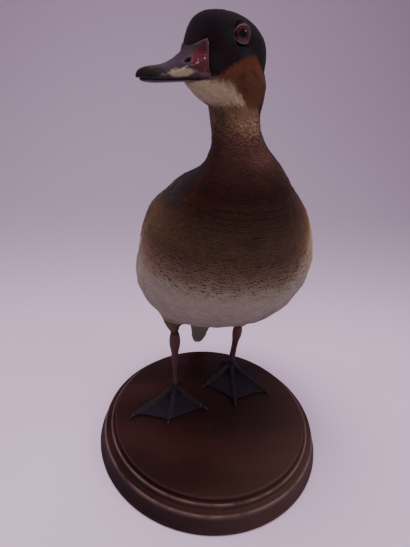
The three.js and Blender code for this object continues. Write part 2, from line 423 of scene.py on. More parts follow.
class Term:
    """A shader value that takes part in arithmetic."""

    def __init__(self, graph: "Graph", socket: bpy.types.NodeSocket) -> None:
        """Wraps one output."""
        self.graph = graph
        self.socket = socket

    def _with(self, operation: str, *values: object) -> "Term":
        """One Math node on this and other values."""
        return self.graph.node("ShaderNodeMath", {"operation": operation}, dict(enumerate(values)))

    def __add__(self, other: object) -> "Term":
        """Sum."""
        return self._with("ADD", self, other)

    def __radd__(self, other: object) -> "Term":
        """Sum, the other way round."""
        return self._with("ADD", other, self)

    def __sub__(self, other: object) -> "Term":
        """Difference."""
        return self._with("SUBTRACT", self, other)

    def __rsub__(self, other: object) -> "Term":
        """Difference, the other way round."""
        return self._with("SUBTRACT", other, self)

    def __mul__(self, other: object) -> "Term":
        """Product."""
        return self._with("MULTIPLY", self, other)

    def __rmul__(self, other: object) -> "Term":
        """Product, the other way round."""
        return self._with("MULTIPLY", other, self)

    def __truediv__(self, other: object) -> "Term":
        """Quotient."""
        return self._with("DIVIDE", self, other)

    def __pow__(self, other: object) -> "Term":
        """Power."""
        return self._with("POWER", self, other)

    def wave(self) -> "Term":
        """Sine."""
        return self._with("SINE", self)

    def size(self) -> "Term":
        """Absolute value."""
        return self._with("ABSOLUTE", self)

    def between(self, low: float, high: float) -> "Term":
        """Smooth step from 0 at low to 1 at high.

        Args:
            low: Where it starts.
            high: Where it ends; may be below low.

        Returns:
            The stepped value.
        """
        return self.graph.node(
            "ShaderNodeMapRange",
            {"interpolation_type": "SMOOTHSTEP"},
            {"Value": self, "From Min": low, "From Max": high},
        )


class Graph:
    """A material's nodes."""

    def __init__(self, name: str) -> None:
        """Starts a material with a Principled shader.

        Args:
            name: The material's name.
        """
        self.material = bpy.data.materials.new(name)
        self.material.use_nodes = True
        self.tree = self.material.node_tree
        self.shader = self.tree.nodes["Principled BSDF"]

    def node(
        self, kind: str, settings: dict[str, object] | None = None,
        inputs: dict[object, object] | None = None, output: object = 0,
    ) -> Term:
        """Any node: its type, its settings, then its sockets.

        Args:
            kind: The node's type.
            settings: Properties, set first.
            inputs: Values or links by socket name or number.
            output: Which output is returned.

        Returns:
            The output.
        """
        made = self.tree.nodes.new(kind)
        for name, value in (settings or {}).items():
            setattr(made, name, value)
        for key, value in (inputs or {}).items():
            self._feed(made.inputs[key], value)
        return Term(self, made.outputs[output])

    def _feed(self, socket: bpy.types.NodeSocket, value: object) -> None:
        """Links a Term to a socket, or sets a plain value.

        Args:
            socket: The input.
            value: A Term, a number or a sequence.
        """
        if isinstance(value, Term):
            self.tree.links.new(value.socket, socket)
        elif hasattr(value, "__len__") and len(value) == 3 and len(socket.default_value) == 4:
            socket.default_value = (*value, 1.0)
        else:
            socket.default_value = value

    def blend(self, factor: object, a: object, b: object, how: str = "MIX") -> Term:
        """Mixes two colours; factor says how much of b, and how is the blend type."""
        settings = {"data_type": "RGBA", "blend_type": how}
        return self.node("ShaderNodeMix", settings, {0: factor, 6: a, 7: b}, 2)

    def coats(self, colour: object, *layers: tuple[object, str]) -> Term:
        """Dyes laid over a colour in turn.

        Args:
            colour: The colour below.
            layers: How far each covers, and its code.

        Returns:
            The mixed colour.
        """
        for factor, code in layers:
            colour = self.blend(factor, colour, dye(code))
        return colour

    def attribute(self, name: str, output: str = "Color") -> Term:
        """A mesh attribute."""
        return self.node("ShaderNodeAttribute", {"attribute_name": name}, None, output)

    def parts(self, value: Term, kind: str = "Color") -> list[Term]:
        """The three parts of a colour, or of a place when kind is XYZ."""
        first = self.node("ShaderNodeSeparate" + kind, None, {0: value})
        return [Term(self, out) for out in first.socket.node.outputs]

    def here(self) -> Term:
        """Object coordinates."""
        return self.node("ShaderNodeTexCoord", None, None, "Object")

    def speckle(self, scale: float, detail: float = 3.0, stretch: tuple = ()) -> Term:
        """Noise on Object coordinates.

        Args:
            scale: Cells per metre.
            detail: Octaves.
            stretch: Scale along each axis, if not even.

        Returns:
            Noise from 0 to 1.
        """
        place = self.here()
        if stretch:
            place = self.node("ShaderNodeMapping", None, {"Vector": place, "Scale": stretch})
        return self.node(
            "ShaderNodeTexNoise", None, {"Vector": place, "Scale": scale, "Detail": detail}
        )

    def finish(self, relief: float = 0.0, height: Term | None = None, **inputs: object) -> None:
        """Feeds the shader.

        Args:
            relief: Height of the bump in metres.
            height: What the bump reads, or None.
            inputs: Shader sockets, with underscores for spaces.
        """
        for name, value in inputs.items():
            self._feed(self.shader.inputs[name.replace("_", " ")], value)
        if height is not None:
            bump = self.node("ShaderNodeBump", None, {"Distance": relief, "Height": height})
            self._feed(self.shader.inputs["Normal"], bump)


# ---- finishes


@dataclass(frozen=True)
class Finish:
    """What every finish shares: its material is made from the nodes that it adds."""

    def make(self) -> Material:
        """Builds the material."""
        g = Graph(self.name)
        self.dress(g)
        return g.material

    def dress(self, g: Graph) -> None:
        """Adds the finish's nodes to a graph."""
        raise NotImplementedError


@dataclass(frozen=True)
class Plumage(Finish):
    """Soft feathers: tint from the mesh, fine barbs, bars and a pale edge from the vane map."""

    name: str = "plumage"
    roughness: float = 0.78
    barbs: float = 46.0
    sheen: float = 0.03

    def dress(self, g: Graph) -> None:
        """Adds the nodes.

        Args:
            g: The material's graph.
        """
        tint = g.attribute(TINT)
        bar, crescent, fringe = g.parts(g.attribute(MARKS))
        count = g.attribute(MARKS, "Alpha")
        across, along, _ = g.parts(g.node("ShaderNodeUVMap", {"uv_map": VANE_MAP}), "XYZ")
        off = (across - 0.5).size() * 2.0
        barb = ((along * 1.6 + off * 0.9) * self.barbs + across * 9.0).wave()
        fleck = g.speckle(260.0, 2.0, (1.0, 1.0, 2.2))
        bars = ((along + off * off * -0.10) * count * 6.2832 + fleck * 2.2).wave()
        bars = bars.between(-0.1, 0.55) * fleck.between(0.30, 0.50)
        arc = along + off * off * 0.16
        moon = arc.between(0.68, 0.78) * arc.between(0.96, 0.90) * off.between(0.85, 0.5)
        pale = (along + off * 0.12).between(0.90, 1.0)
        light = g.blend(bar, tint, g.blend(1.0, tint, (1.45, 1.38, 1.35), "MULTIPLY"))
        colour = g.blend(bars * bar, light, g.blend(1.0, tint, (0.34, 0.26, 0.26), "MULTIPLY"))
        colour = g.blend(moon * crescent, colour, (0.030, 0.012, 0.009))
        colour = g.blend(pale * fringe, colour, g.blend(0.55, colour, (0.42, 0.34, 0.29)))
        colour = g.blend(barb * 0.07 + 0.07, colour, (0.0, 0.0, 0.0))
        grain = g.speckle(1400.0, 2.0)
        colour = g.blend((grain - 0.5) * 0.35 + 0.12, colour, (0.0, 0.0, 0.0))
        shaft = off.between(0.10, 0.02)
        g.finish(
            0.00002, barb * 0.5 + shaft * 0.6, Base_Color=colour, Roughness=self.roughness,
            Sheen_Weight=self.sheen, Sheen_Roughness=0.5, Specular_IOR_Level=0.14,
        )


@dataclass(frozen=True)
class FlightFeather(Finish):
    """Close vanes of the wing and tail with a visible shaft and a soft gloss."""

    name: str = "flight_feather"
    roughness: float = 0.46
    barbs: float = 120.0

    def dress(self, g: Graph) -> None:
        """Adds the nodes.

        Args:
            g: The material's graph.
        """
        tint = g.attribute(TINT)
        gloss, _, fringe = g.parts(g.attribute(MARKS))
        across, along, _ = g.parts(g.node("ShaderNodeUVMap", {"uv_map": VANE_MAP}), "XYZ")
        off = (across - 0.5).size() * 2.0
        barb = ((along * 2.2 + off * 0.5) * self.barbs).wave()
        shaft = off.between(0.075, 0.02)
        colour = g.blend(off.between(0.8, 1.0) * fringe, tint, (0.33, 0.31, 0.29))
        colour = g.blend(shaft * 0.55, colour, (0.035, 0.020, 0.014))
        colour = g.blend(barb * 0.08 + 0.08, colour, (0.0, 0.0, 0.0))
        g.finish(
            0.00006, barb * 0.35 + shaft, Base_Color=colour, Metallic=gloss * 0.55,
            Roughness=self.roughness - gloss * 0.14, Sheen_Weight=0.05, Specular_IOR_Level=0.4,
        )


@dataclass(frozen=True)
class BillHorn(Finish):
    """Satin bill skin: tint from the mesh with fine pores and a lacquer."""

    name: str = "bill_horn"
    roughness: float = 0.48

    def dress(self, g: Graph) -> None:
        """Adds the nodes.

        Args:
            g: The material's graph.
        """
        tint = g.attribute(TINT)
        wet, _, _ = g.parts(g.attribute(MARKS))
        pores = g.speckle(900.0, 4.0)
        fine = g.speckle(3200.0, 2.0)
        colour = g.blend(pores * 0.45, tint, g.blend(1.0, tint, (0.45, 0.40, 0.42), "MULTIPLY"))
        g.finish(
            0.0002, pores * 0.8 + fine * 0.5, Base_Color=colour,
            Roughness=self.roughness + pores * 0.14 - wet * 0.22, Coat_Weight=wet * 0.9,
            Coat_Roughness=0.12, Specular_IOR_Level=0.16,
        )


@dataclass(frozen=True)
class EyeGlass(Finish):
    """A polished glass eye: pupil and dark red iris from the gaze angle, painted shade at the
    lids.
    """

    name: str = "eye_glass"

    def dress(self, g: Graph) -> None:
        """Adds the nodes.

        Args:
            g: The material's graph.
        """
        angle, turn, lid = g.parts(g.attribute(TINT))
        fibres = (turn * 62.0 + g.speckle(1500.0) * 5.0).wave() * 0.5 + 0.5
        # the rim is painted shade: the glass goes dark towards the lids' edge and past it
        pupil, rim = angle.between(0.34, 0.14), lid.between(0.42, 0.50)
        g.finish(
            Base_Color=g.coats(
                dye("440d19"), (fibres * 0.55, "1c050a"), (pupil, "060203"), (rim, "0e0608")
            ),
            Roughness=0.08,
            Coat_Weight=0.2,
            Coat_Roughness=0.02,
            Specular_IOR_Level=0.25,
        )


@dataclass(frozen=True)
class Speckled(Finish):
    """Two colours in fine grain with a relief: dry skin of the lids, or growth lines of claws."""

    name: str
    scale: float
    detail: float
    relief: float
    roughness: float
    dark: str
    light: str
    specular: float = 0.5

    def dress(self, g: Graph) -> None:
        """Adds the nodes.

        Args:
            g: The material's graph.
        """
        grain = g.speckle(self.scale, self.detail)
        colour = g.blend(grain, dye(self.dark), dye(self.light))
        g.finish(
            self.relief, grain, Base_Color=colour, Roughness=self.roughness,
            Specular_IOR_Level=self.specular,
        )


LID_SKIN = Speckled("lid_skin", 1500.0, 4.0, 0.00025, 0.5, "3c2a2e", "5e464a", 0.4)
CLAW_HORN = Speckled("claw_horn", 1800.0, 3.0, 0.0001, 0.32, "1c1214", "4a3a36")


@dataclass(frozen=True)
class LegSkin(Finish):
    """Dry scaled skin of legs, toes and webs: tint from the mesh, net of small scales."""

    name: str = "leg_skin"

    def dress(self, g: Graph) -> None:
        """Adds the nodes.

        Args:
            g: The material's graph.
        """
        tint = g.attribute(TINT)
        edge = {"feature": "DISTANCE_TO_EDGE"}
        net = g.node("ShaderNodeTexVoronoi", edge, {"Vector": g.here(), "Scale": 780.0})
        scales = net.between(0.0, 0.16)
        dust = g.speckle(260.0, 4.0)
        gaps = g.blend(1.0, tint, (0.4, 0.36, 0.38), "MULTIPLY")
        colour = g.blend(scales * 0.55 + 0.25, gaps, tint)
        colour = g.coats(colour, (dust.between(0.52, 0.85) * 0.22, "6c5660"))
        g.finish(
            0.0003, scales + dust * 0.4, Base_Color=colour, Roughness=0.42 + dust * 0.22,
            Specular_IOR_Level=0.42,
        )


@dataclass(frozen=True)
class TurnedWood(Finish):
    """Dark stained wood: grain, turning lines, scuffs, and painted highlight, shade and sheen."""

    name: str = "turned_wood"
    bead: float = 0.0948
    shoulder: float = 0.1012

    def dress(self, g: Graph) -> None:
        """Adds the nodes.

        Args:
            g: The material's graph.
        """
        x, y, z = g.parts(g.here(), "XYZ")
        drift = g.speckle(9.0, 3.0)
        grain = g.speckle(26.0, 5.0, (0.35, 3.4, 3.4))
        pores = g.speckle(120.0, 3.0, (0.16, 4.2, 4.2))
        bands = ((y * 95.0 + drift * 9.0 + z * 30.0).wave() * 0.5 + 0.5) * 0.5 + grain * 0.5
        radius = (x * x + y * y) ** 0.5
        turning = (radius * 5200.0).wave()
        painted_highlight = 0.0
        for rim in (self.bead, self.shoulder):
            painted_highlight = (radius - rim).size().between(0.0011, 0.0002) + painted_highlight
        wall = radius.between(0.0975, 0.1010) * z.between(0.0185, 0.0150)
        scuffs = g.speckle(70.0, 6.0)
        colour = g.coats(
            dye("25110f"),
            (bands.between(0.25, 0.8), "321815"),
            (pores.between(0.56, 0.72) * 0.4, "180b09"),
            (grain.between(0.55, 0.75) * 0.2, "4a2419"),
            # painted shade: the flared lower side wall is darker
            (wall * 0.8, "190a07"),
            # painted sheen: the wood is lighter towards the front right
            ((x * 0.8 - y * 0.5).between(0.0, 0.12) * 0.30, "694a40"),
            # painted highlight: light rings at the bead and shoulder radii, broken up by the scuff
            # noise
            (painted_highlight * scuffs.between(0.25, 0.6) * 0.45, "84655f"),
            (scuffs.between(0.64, 0.82) * 0.14, "8a706a"),
        )
        g.finish(
            0.0002, grain * 0.7 + turning * 0.05 + pores * 0.5, Base_Color=colour,
            Roughness=0.34 + scuffs * 0.30 + wall * 0.25, Coat_Weight=0.10 - wall * 0.10,
            Coat_Roughness=0.28, Specular_IOR_Level=0.28,
        )


@dataclass(frozen=True)
class PaleFloor(Finish):
    """Plain pale paper with painted shade: a little darker where it climbs behind."""

    name: str = "pale_floor"
    colour: str = "d9bcda"
    far: str = "a792a9"

    def dress(self, g: Graph) -> None:
        """Adds the nodes.

        Args:
            g: The material's graph.
        """
        _, y, _ = g.parts(g.here(), "XYZ")
        # painted shade: the paper darkens towards the back wall
        colour = g.blend(y.between(0.10, 0.55), dye(self.colour), dye(self.far))
        g.finish(Base_Color=colour, Roughness=0.9, Specular_IOR_Level=0.1)


# ---- where things are


@dataclass
class Anatomy:
    """The bird's own lines from the CAD nodes: a curve down its middle and the head's axes."""

    gap: float = 0.002
    bill_base: tuple[float, float] = (28.0, -12.0)
    skull_middle: tuple[float, float] = (-3.0, -8.0)
    flesh: dict[str, BVHTree] = field(default_factory=dict)
    table_top: float = field(init=False)
    middle: Array = field(init=False)
    ahead: Array = field(init=False)
    aside: Array = field(init=False)
    above: Array = field(init=False)
    line: Array = field(init=False)
    down: Array = field(init=False)
    across: Array = field(init=False)
    back: Array = field(init=False)

    def read(self) -> "Anatomy":
        """Fills in every line and place.

        Returns:
            This anatomy.
        """
        self.table_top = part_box("base")[1].z
        left, right = (np.array(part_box("eye_" + side.word)).mean(0) for side in Side)
        self.middle = (left + right) / 2
        self.aside = unit(left - right)
        self.ahead = unit(np.cross(self.aside, [0.0, 0.0, 1.0]))
        self.above = np.cross(self.ahead, self.aside)
        self._draw_line()
        for node in ("trunk", "thigh_left", "thigh_right"):
            self.flesh[node] = search(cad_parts[node])
        return self

    def on_thigh(self, p: Array) -> Array:
        """How far places belong to a thigh rather than to the trunk.

        Args:
            p: Places.

        Returns:
            Values from 0 to 1.
        """
        share = np.zeros(len(p))
        for side in Side:
            low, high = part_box("thigh_" + side.word)
            near = (p > np.array(low) - 0.004).all(1) & (p < np.array(high) + 0.004).all(1)
            for i in np.flatnonzero(near):
                q = p[i].tolist()
                off = [self.flesh[n].find_nearest(q)[3] for n in ("trunk", "thigh_" + side.word)]
                share[i] = step(off[0] - off[1], -0.0002, 0.0012)
        return share

    def _slice_middles(self) -> Array:
        """Middles of level slices through neck, trunk, wings and tail, from the top down.

        Returns:
            Places.
        """
        ends = []
        for node in ("neck", "trunk", "wing_left", "wing_right", "tail"):
            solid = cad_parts[node]
            ends.append(places(solid)[table(solid.data.edges, "vertices", 2, int)])
        ends = np.concatenate(ends)
        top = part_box("neck")[1].z - 3 * self.gap
        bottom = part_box("tail")[0].z + self.gap
        middles = []
        for level in np.arange(top, bottom, -self.gap * 2):
            a, b = ends[:, 0, 2] - level, ends[:, 1, 2] - level
            cut = a * b < 0
            t = (a[cut] / (a[cut] - b[cut]))[:, None]
            p = ends[cut, 0] + (ends[cut, 1] - ends[cut, 0]) * t
            middles.append((p.min(0) + p.max(0)) / 2)
        return np.array(middles)

    def _draw_line(self) -> None:
        """Draws the middle line from the bill's root through skull, neck and trunk to the tail."""
        start, skull = (self.from_head(f, 0.0, h) for f, h in (self.bill_base, self.skull_middle))
        line = np.vstack([start, (start + skull) / 2, skull, self._slice_middles()])
        for _ in range(30):
            run = np.concatenate([[0], np.cumsum(np.linalg.norm(np.diff(line, axis=0), axis=1))])
            even = np.arange(0.0, run[-1], self.gap)
            line = np.stack([np.interp(even, run, line[:, k]) for k in range(3)], 1)
            line[1:-1] = line[1:-1] * 0.5 + (line[:-2] + line[2:]) * 0.25
        self.line = line
        self.down = unit(np.gradient(line, axis=0))
        run = np.arange(len(line)) * self.gap
        turn = step(run, 0.045, 0.105)[:, None]
        side = self.aside * (1 - turn) + np.array([1.0, 0.0, 0.0]) * turn
        side = unit(side - self.down * (side * self.down).sum(1, keepdims=True))
        self.across = side
        self.back = np.cross(side, self.down)

    @property
    def length(self) -> float:
        """Length of the middle line."""
        return (len(self.line) - 1) * self.gap

    def at(self, s: Array, values: Array) -> Array:
        """Values along the middle line.

        Args:
            s: Distances along it.
            values: One row for each point of the line.

        Returns:
            Interpolated rows.
        """
        x = np.clip(np.asarray(s) / self.gap, 0, len(self.line) - 1.001)
        i = x.astype(int)
        t = (x - i)[..., None]
        return values[i] * (1 - t) + values[i + 1] * t

    def locate(self, p: Array) -> tuple[Array, Array]:
        """Distance along the middle line and angle round it.

        Args:
            p: Places.

        Returns:
            Distances, and angles: 0 at the throat and belly, positive to the left, pi at the back.
        """
        s = np.empty(len(p))
        for i in range(0, len(p), 20000):
            part = p[i : i + 20000]
            d = ((part[:, None] - self.line[None, ::2]) ** 2).sum(2)
            near = d.argmin(1) * 2
            slip = ((part - self.line[near]) * self.down[near]).sum(1)
            s[i : i + 20000] = near * self.gap + np.clip(slip, -0.02, 0.02)
        s = np.clip(s, 0.0, self.length)
        off = p - self.at(s, self.line)
        side = (off * self.at(s, self.across)).sum(1)
        rear = (off * self.at(s, self.back)).sum(1)
        return s, np.arctan2(side, -rear)

    def in_head(self, p: Array) -> tuple[Array, Array, Array]:
        """Places as the head sees them, in millimetres from between the eyes."""
        off = (p - self.middle) / MM
        return off @ self.ahead, off @ self.aside, off @ self.above

    def from_head(self, ahead: Array, aside: Array, above: Array) -> Array:
        """Places given in the head's own millimetres."""
        off = np.stack(np.broadcast_arrays(ahead, aside, above), -1)
        return self.middle + off @ np.stack([self.ahead, self.aside, self.above]) * MM


# ---- bare skin


@dataclass
class Skin:
    """The bare skin of the whole bird: one closed surface that lies under the coat."""

    anatomy: Anatomy
    voxel: float = 0.0013
    swell: float = 0.0004
    smoothing: int = 7
    body_depth: float = 0.0013
    head_depth: float = 0.0005
    eye_open: tuple[float, float] = (6.3, 5.5)
    piece: Piece | None = None
    tree: BVHTree | None = None
    facing: Array | None = None

    def build(self, plugs: list[Piece]) -> "Skin":
        """Makes the surface from the flesh nodes and lets it sink by the coat's depth.

        Args:
            plugs: Closed objects that fill the bill's pocket in the head.

        Returns:
            This skin.
        """
        for plug in plugs:
            apply_modifier(plug, "DISPLACE", strength=self.swell, mid_level=0.0)
        flesh = [solid_copy(node, self.swell) for node in FLESH + ("eye_left", "eye_right")]
        self.piece = join(flesh + plugs, "skin")
        remeshed(self.piece, self.voxel, self.smoothing)
        self._sink()
        self._sockets()
        smooth_shaded(self.piece)
        self._index()
        return self

    def _sink(self) -> None:
        """Moves the surface inward, less on the head than on the body."""
        p = places(self.piece)
        ahead, aside, above = self.anatomy.in_head(p)
        low = step(above, -8, -50)
        depth = self.head_depth + (self.body_depth - self.head_depth) * low
        bill = step(bare_depth(ahead, aside, above), -0.3, 0.9)
        depth = depth + 1.3 * MM * bill + self.swell
        move_to(self.piece, p - normals(self.piece) * depth[:, None])

    def _sockets(self) -> None:
        """Presses the skin in round each eye, with a low brow above it."""
        p = places(self.piece)
        ahead, aside, above = self.anatomy.in_head(p)
        for side in Side:
            near = aside * side.sign > 4.0
            r = np.hypot(ahead / self.eye_open[0], above / self.eye_open[1])
            floor = 12.4 - 0.27 * ahead
            deep = (1 - step(r, 0.90, 1.35 + 0.25 * step(ahead, 0, 6))) * near
            drop = np.maximum(aside * side.sign - floor, 0.0) * deep
            brow = hill(np.hypot(ahead * 0.9, above - 7.8), 0.0, 6.0) * near * step(r, 1, 1.25)
            shift = brow * 0.25 - drop
            p = p + self.anatomy.aside * (shift * side.sign * MM)[:, None]
        move_to(self.piece, p)

    def _index(self) -> None:
        """Prepares nearest-place searches."""
        self.tree = search(self.piece)
        n = normals(self.piece)
        corners = np.array([f.vertices[:3] for f in self.piece.data.polygons])
        self.facing = unit(n[corners[:, 0]] + n[corners[:, 2]])

    def dress(self, markings: "Markings", material: Material) -> None:
        """Args:
            markings: The bird's colours.
            material: The plumage finish.
        """
        p = places(self.piece)
        paint(self.piece, TINT, markings.tint(p) * 0.9)
        paint(self.piece, MARKS, np.zeros((len(p), 4)))
        map_vertices(self.piece, VANE_MAP, np.tile([0.8, 0.3], (len(p), 1)))
        install(self.piece, "skin", "plumage", material, *FLESH)

    def settle(self, p: Array) -> tuple[Array, Array]:
        """Nearest places on the skin.

        Args:
            p: Places.

        Returns:
            The places on the skin and the skin's normals there.
        """
        hits = [self.tree.find_nearest(q) for q in p.tolist()]
        spot = np.array([h[0] for h in hits]).reshape(-1, 3)
        return spot, self.facing[np.array([h[2] for h in hits], int)]

    def outward(self, s: Array, angle: Array) -> tuple[Array, Array, Array]:
        """Where rays from the middle line leave the skin.

        Args:
            s: Distances along the line.
            angle: Angles round it.

        Returns:
            Places, normals, and which rays met the skin.
        """
        a = self.anatomy
        start = a.at(s, a.line).tolist()
        sine, cosine = np.sin(angle)[:, None], np.cos(angle)[:, None]
        way = a.at(s, a.across) * sine - a.at(s, a.back) * cosine
        hits = [self.tree.ray_cast(o, d, 0.2) for o, d in zip(start, way.tolist())]
        met = np.array([h[0] is not None for h in hits])
        spot = np.array([h[0] or o for h, o in zip(hits, start)])
        return spot, self.facing[np.array([h[2] or 0 for h in hits], int)], met


# ---- markings


@dataclass(frozen=True)
class Markings:
    """The bird's colours by region, shared by skin and coat."""

    anatomy: Anatomy
    twist: float = 0.97
    nape_twist: float = 0.35

    def tint(self, p: Array, mantle: bool = True) -> Array:
        """The colour at places on the bird.

        Args:
            p: Places.
            mantle: Whether the back has its own colour.

        Returns:
            Linear colours.
        """
        s, angle = self.anatomy.locate(p)
        height = (p[:, 2] - self.anatomy.table_top) / MM
        colour = self._body(p, height, angle, s, mantle)
        colour = over(colour, self._neck(p, height, angle), step(height, 262, 276))
        return over(colour, self._head(p), step(height, 282.5, 288.5))

    def _body(self, p: Array, height: Array, angle: Array, s: Array, mantle: bool) -> Array:
        """Breast, belly, flanks, back and thighs.

        Args:
            p: Places.
            height: Millimetres above the base.
            angle: Round the middle line.
            s: Along the middle line.
            mantle: Whether the back is slate.

        Returns:
            Linear colours.
        """
        turn, x = np.abs(angle), p[:, 0] / MM
        blotch, fine = waves(p, 0.022, 3), waves(p, 0.008, 4)
        left = step(angle, 0.55, 1.45)
        colour = ramp(
            height - 46.0 * left * step(height, 222, 196) + 2.0 * blotch,
            {
                109: "887e72", 134: "8b8173", 148: "8c8375", 159: "877f6a", 169: "71604c",
                177: "614c3a", 185: "543f2f", 192: "453325", 200: "423224", 213: "38261c",
                224: "2d1a13", 237: "28110f", 249: "301b17", 263: "402723", 275: "50362c",
            },
        )
        warm = step(turn, 0.6, 1.5) * step(height, 150, 180) * step(height, 262, 235)
        colour = colour * (1.0 + (warm * (1.0 + left))[:, None] * np.array([0.45, 0.30, 0.12]))
        shoulder = step(-angle, 1.12, 1.38) * step(height, 212, 224) * step(height, 258, 244)
        colour = dyed(
            colour,
            ("543431", hill(height, 257, 9) * hill(x, 6, 16) * 0.6),
            ("211a19", shoulder * 0.9),
            ("211413", hill(height, 206, 6) * hill(x, 2, 15) * 0.55),
            ("786a5f", step(s, 0.300, 0.345) * 0.6),
        )
        back = dyed(
            dye("3f3a3f"),
            ("3a2b20", step(height, 215, 150)),
            ("4a3020", (blotch > 0.2) * 0.25),
            ("1d2320", step(height, 120, 70) * 0.8),
        )
        colour = over(colour, back, step(turn, 1.62, 1.95) * mantle)
        drum = ramp(height, {55: "3a231c", 66: "3f2a20", 72: "5c4a35", 96: "5c4a35"})
        colour = over(colour, drum, self.anatomy.on_thigh(p))
        return colour * (1.0 + 0.07 * fine[:, None] + 0.06 * blotch[:, None])

    def _neck(self, p: Array, height: Array, angle: Array) -> Array:
        """Collar, side streaks and nape.

        Args:
            p: Places.
            height: Millimetres above the base.
            angle: Round the middle line.

        Returns:
            Linear colours.
        """
        turn, rear = (
            np.abs(np.mod(angle + shift + math.pi, 2 * math.pi) - math.pi)
            for shift in (self.twist, self.nape_twist)
        )
        collar = hill(height, 273.5, 7) * step(turn, 0.95, 1.2) * step(turn, 2.2, 1.9)
        colour = dyed(
            dye("5e4035"),
            ("705441", step(height, 270, 277) * 0.6),
            ("795b49", collar * 0.85),
            ("463b2c", step(height, 268, 274) * hill(turn, 0.62, 0.42) * 0.85),
            ("655438", step(height, 266, 276) * hill(turn, 0, 0.42) * 0.9),
            ("593722", step(height, 280, 286) * step(turn, 0.95, 1.2)),
            ("271916", step(rear, 1.65, 2)),
        )
        return colour * (1.0 + 0.10 * waves(p, 0.005, 8)[:, None])

    def _head(self, p: Array) -> Array:
        """Cap, mask, cheek, chin and the gloss round the eye.

        Args:
            p: Places.

        Returns:
            Linear colours.
        """
        ahead, aside, above = self.anatomy.in_head(p)
        ripple = waves(p, 0.004, 11) * 0.8
        cheek = dyed(
            dye("4f2e20"),
            ("5f3320", step(above, -27, -16) * 0.8),
            ("371c14", step(waves(p, 0.009, 12), 0.25, 0.9) * 0.55),
        )
        edge = np.interp(
            ahead,
            [-11, -6, -2.5, 3, 10.5, 17.5, 22.6],
            [-60, -44, -33, -28, -25.7, -24.5, -23.2],
        )
        chin = step(above - edge + ripple * 1.5, 3, -3.2)
        chin = np.maximum(chin, step(ahead, 21, 24.5) * step(above, -22, -24))
        colour = over(cheek, dyed(dye("9d8c72"), ("87745c", step(above, -34, -44))), chin)
        line = np.interp(
            ahead,
            [-26, -20, -14, -10, -3, 0.5, 5.5, 10.5, 14.5, 18, 23, 40],
            [-40, -16, -10.5, -10.4, -11.6, -12.6, -14.4, -16.8, -19.4, -21.6, -22.6, -22.6],
        )
        green = hill(np.hypot(ahead - 12.5, above + 1.5), 0.0, 6.5)
        green = np.maximum(green, hill(np.hypot(ahead - 20.5, (above + 14.0) * 0.8), 0.0, 6.0))
        dark = dyed(
            dye("190d13"),
            ("1c0f18", step(above, 6, 16) * 0.7),
            ("1c0d0e", step(ahead, -4, 16) * step(above, 2, -8) * 0.8),
            ("1d2422", green * 0.5),
            ("202528", hill(np.hypot((ahead + 2.0) * 0.7, above + 9.0), 0.0, 7.0) * 0.8),
        )
        colour = over(colour, dark, step(above - line + ripple * 0.7, -1.7, 1.9))
        nape = step(ahead, -15.5, -22.5) * step(above, -60, -20) * step(np.abs(aside), 16.5, 12.5)
        return dyed(colour, ("251616", nape)) * (1.0 + 0.07 * waves(p, 0.003, 13)[:, None])

    def marks(self, p: Array, rng: Random) -> Array:
        """Bar, crescent and pale edge for feathers at places, and how many bars they have.

        Args:
            p: Places.
            rng: Random numbers.

        Returns:
            Four values for each.
        """
        _, angle = self.anatomy.locate(p)
        turn, n = np.abs(angle), len(p)
        height = (p[:, 2] - self.anatomy.table_top) / MM
        front = step(turn, 1.9, 1.4)
        breast = step(height, 283, 268) * step(height, 160, 196) * front
        flank = step(turn, 1, 1.5) * step(turn, 2, 1.7) * step(height, 230, 190)
        bar = 0.75 * breast + 0.55 * flank * (1 - breast)
        bar = np.maximum(bar, hill(height, 276, 9) * 0.6)
        row = step(height, 208, 192) * step(height, 146, 166) * front
        some = rng.uniform(0.25, 1.0, n) * (rng.uniform(0, 1, n) > 0.12)
        few = step(height, 176, 166) * (rng.uniform(0, 1, n) > 0.55)
        crescent = row * some * (1 - 0.6 * few) * (1 - 0.45 * step(turn, 0.9, 1.4))
        fringe = step(height, 200, 150) * 0.5 * front + 0.25 * (1 - front)
        count = np.where(height > 262, 2.2, 3.6) + rng.uniform(-0.3, 0.3, n)
        return np.stack([bar * rng.uniform(0.6, 1.0, n), crescent, fringe, count], 1)


# ---- feathers


@dataclass(frozen=True)
class Vane:
    """The outline of one kind of feather: half widths at stations from root to tip."""

    stations: tuple[float, ...]
    widths: tuple[float, ...]
    lines: int = 5
    crown: float = 0.03
    fray: float = 0.03

    def faces(self) -> list[tuple[int, ...]]:
        """The faces of one feather, a closed thin shell.

        Returns:
            Corner numbers of each face.
        """
        n, m = len(self.stations), self.lines
        made = []
        for i in range(n - 1):
            for j in range(m - 1):
                a = i * m + j
                made.append((a, a + m, a + m + 1, a + 1))
            left, right = i * m, i * m + m - 1
            made.append((left, right, right + m, left + m))
        made.append(tuple(range(m)))
        made.append(tuple((n - 1) * m + j for j in reversed(range(m))))
        return made

    def rims(self, mesh: bpy.types.Mesh) -> Array:
        """Which edges of a mesh of such feathers lie on a rim.

        Args:
            mesh: The mesh.

        Returns:
            True on a rim.
        """
        ends = table(mesh.edges, "vertices", 2, int) % (len(self.stations) * self.lines)
        row, column = np.divmod(ends, self.lines)
        outer = (column == 0) | (column == self.lines - 1)
        last = (row == 0) | (row == len(self.stations) - 1)
        return outer.all(1) | last.all(1) & (row[:, 0] == row[:, 1])


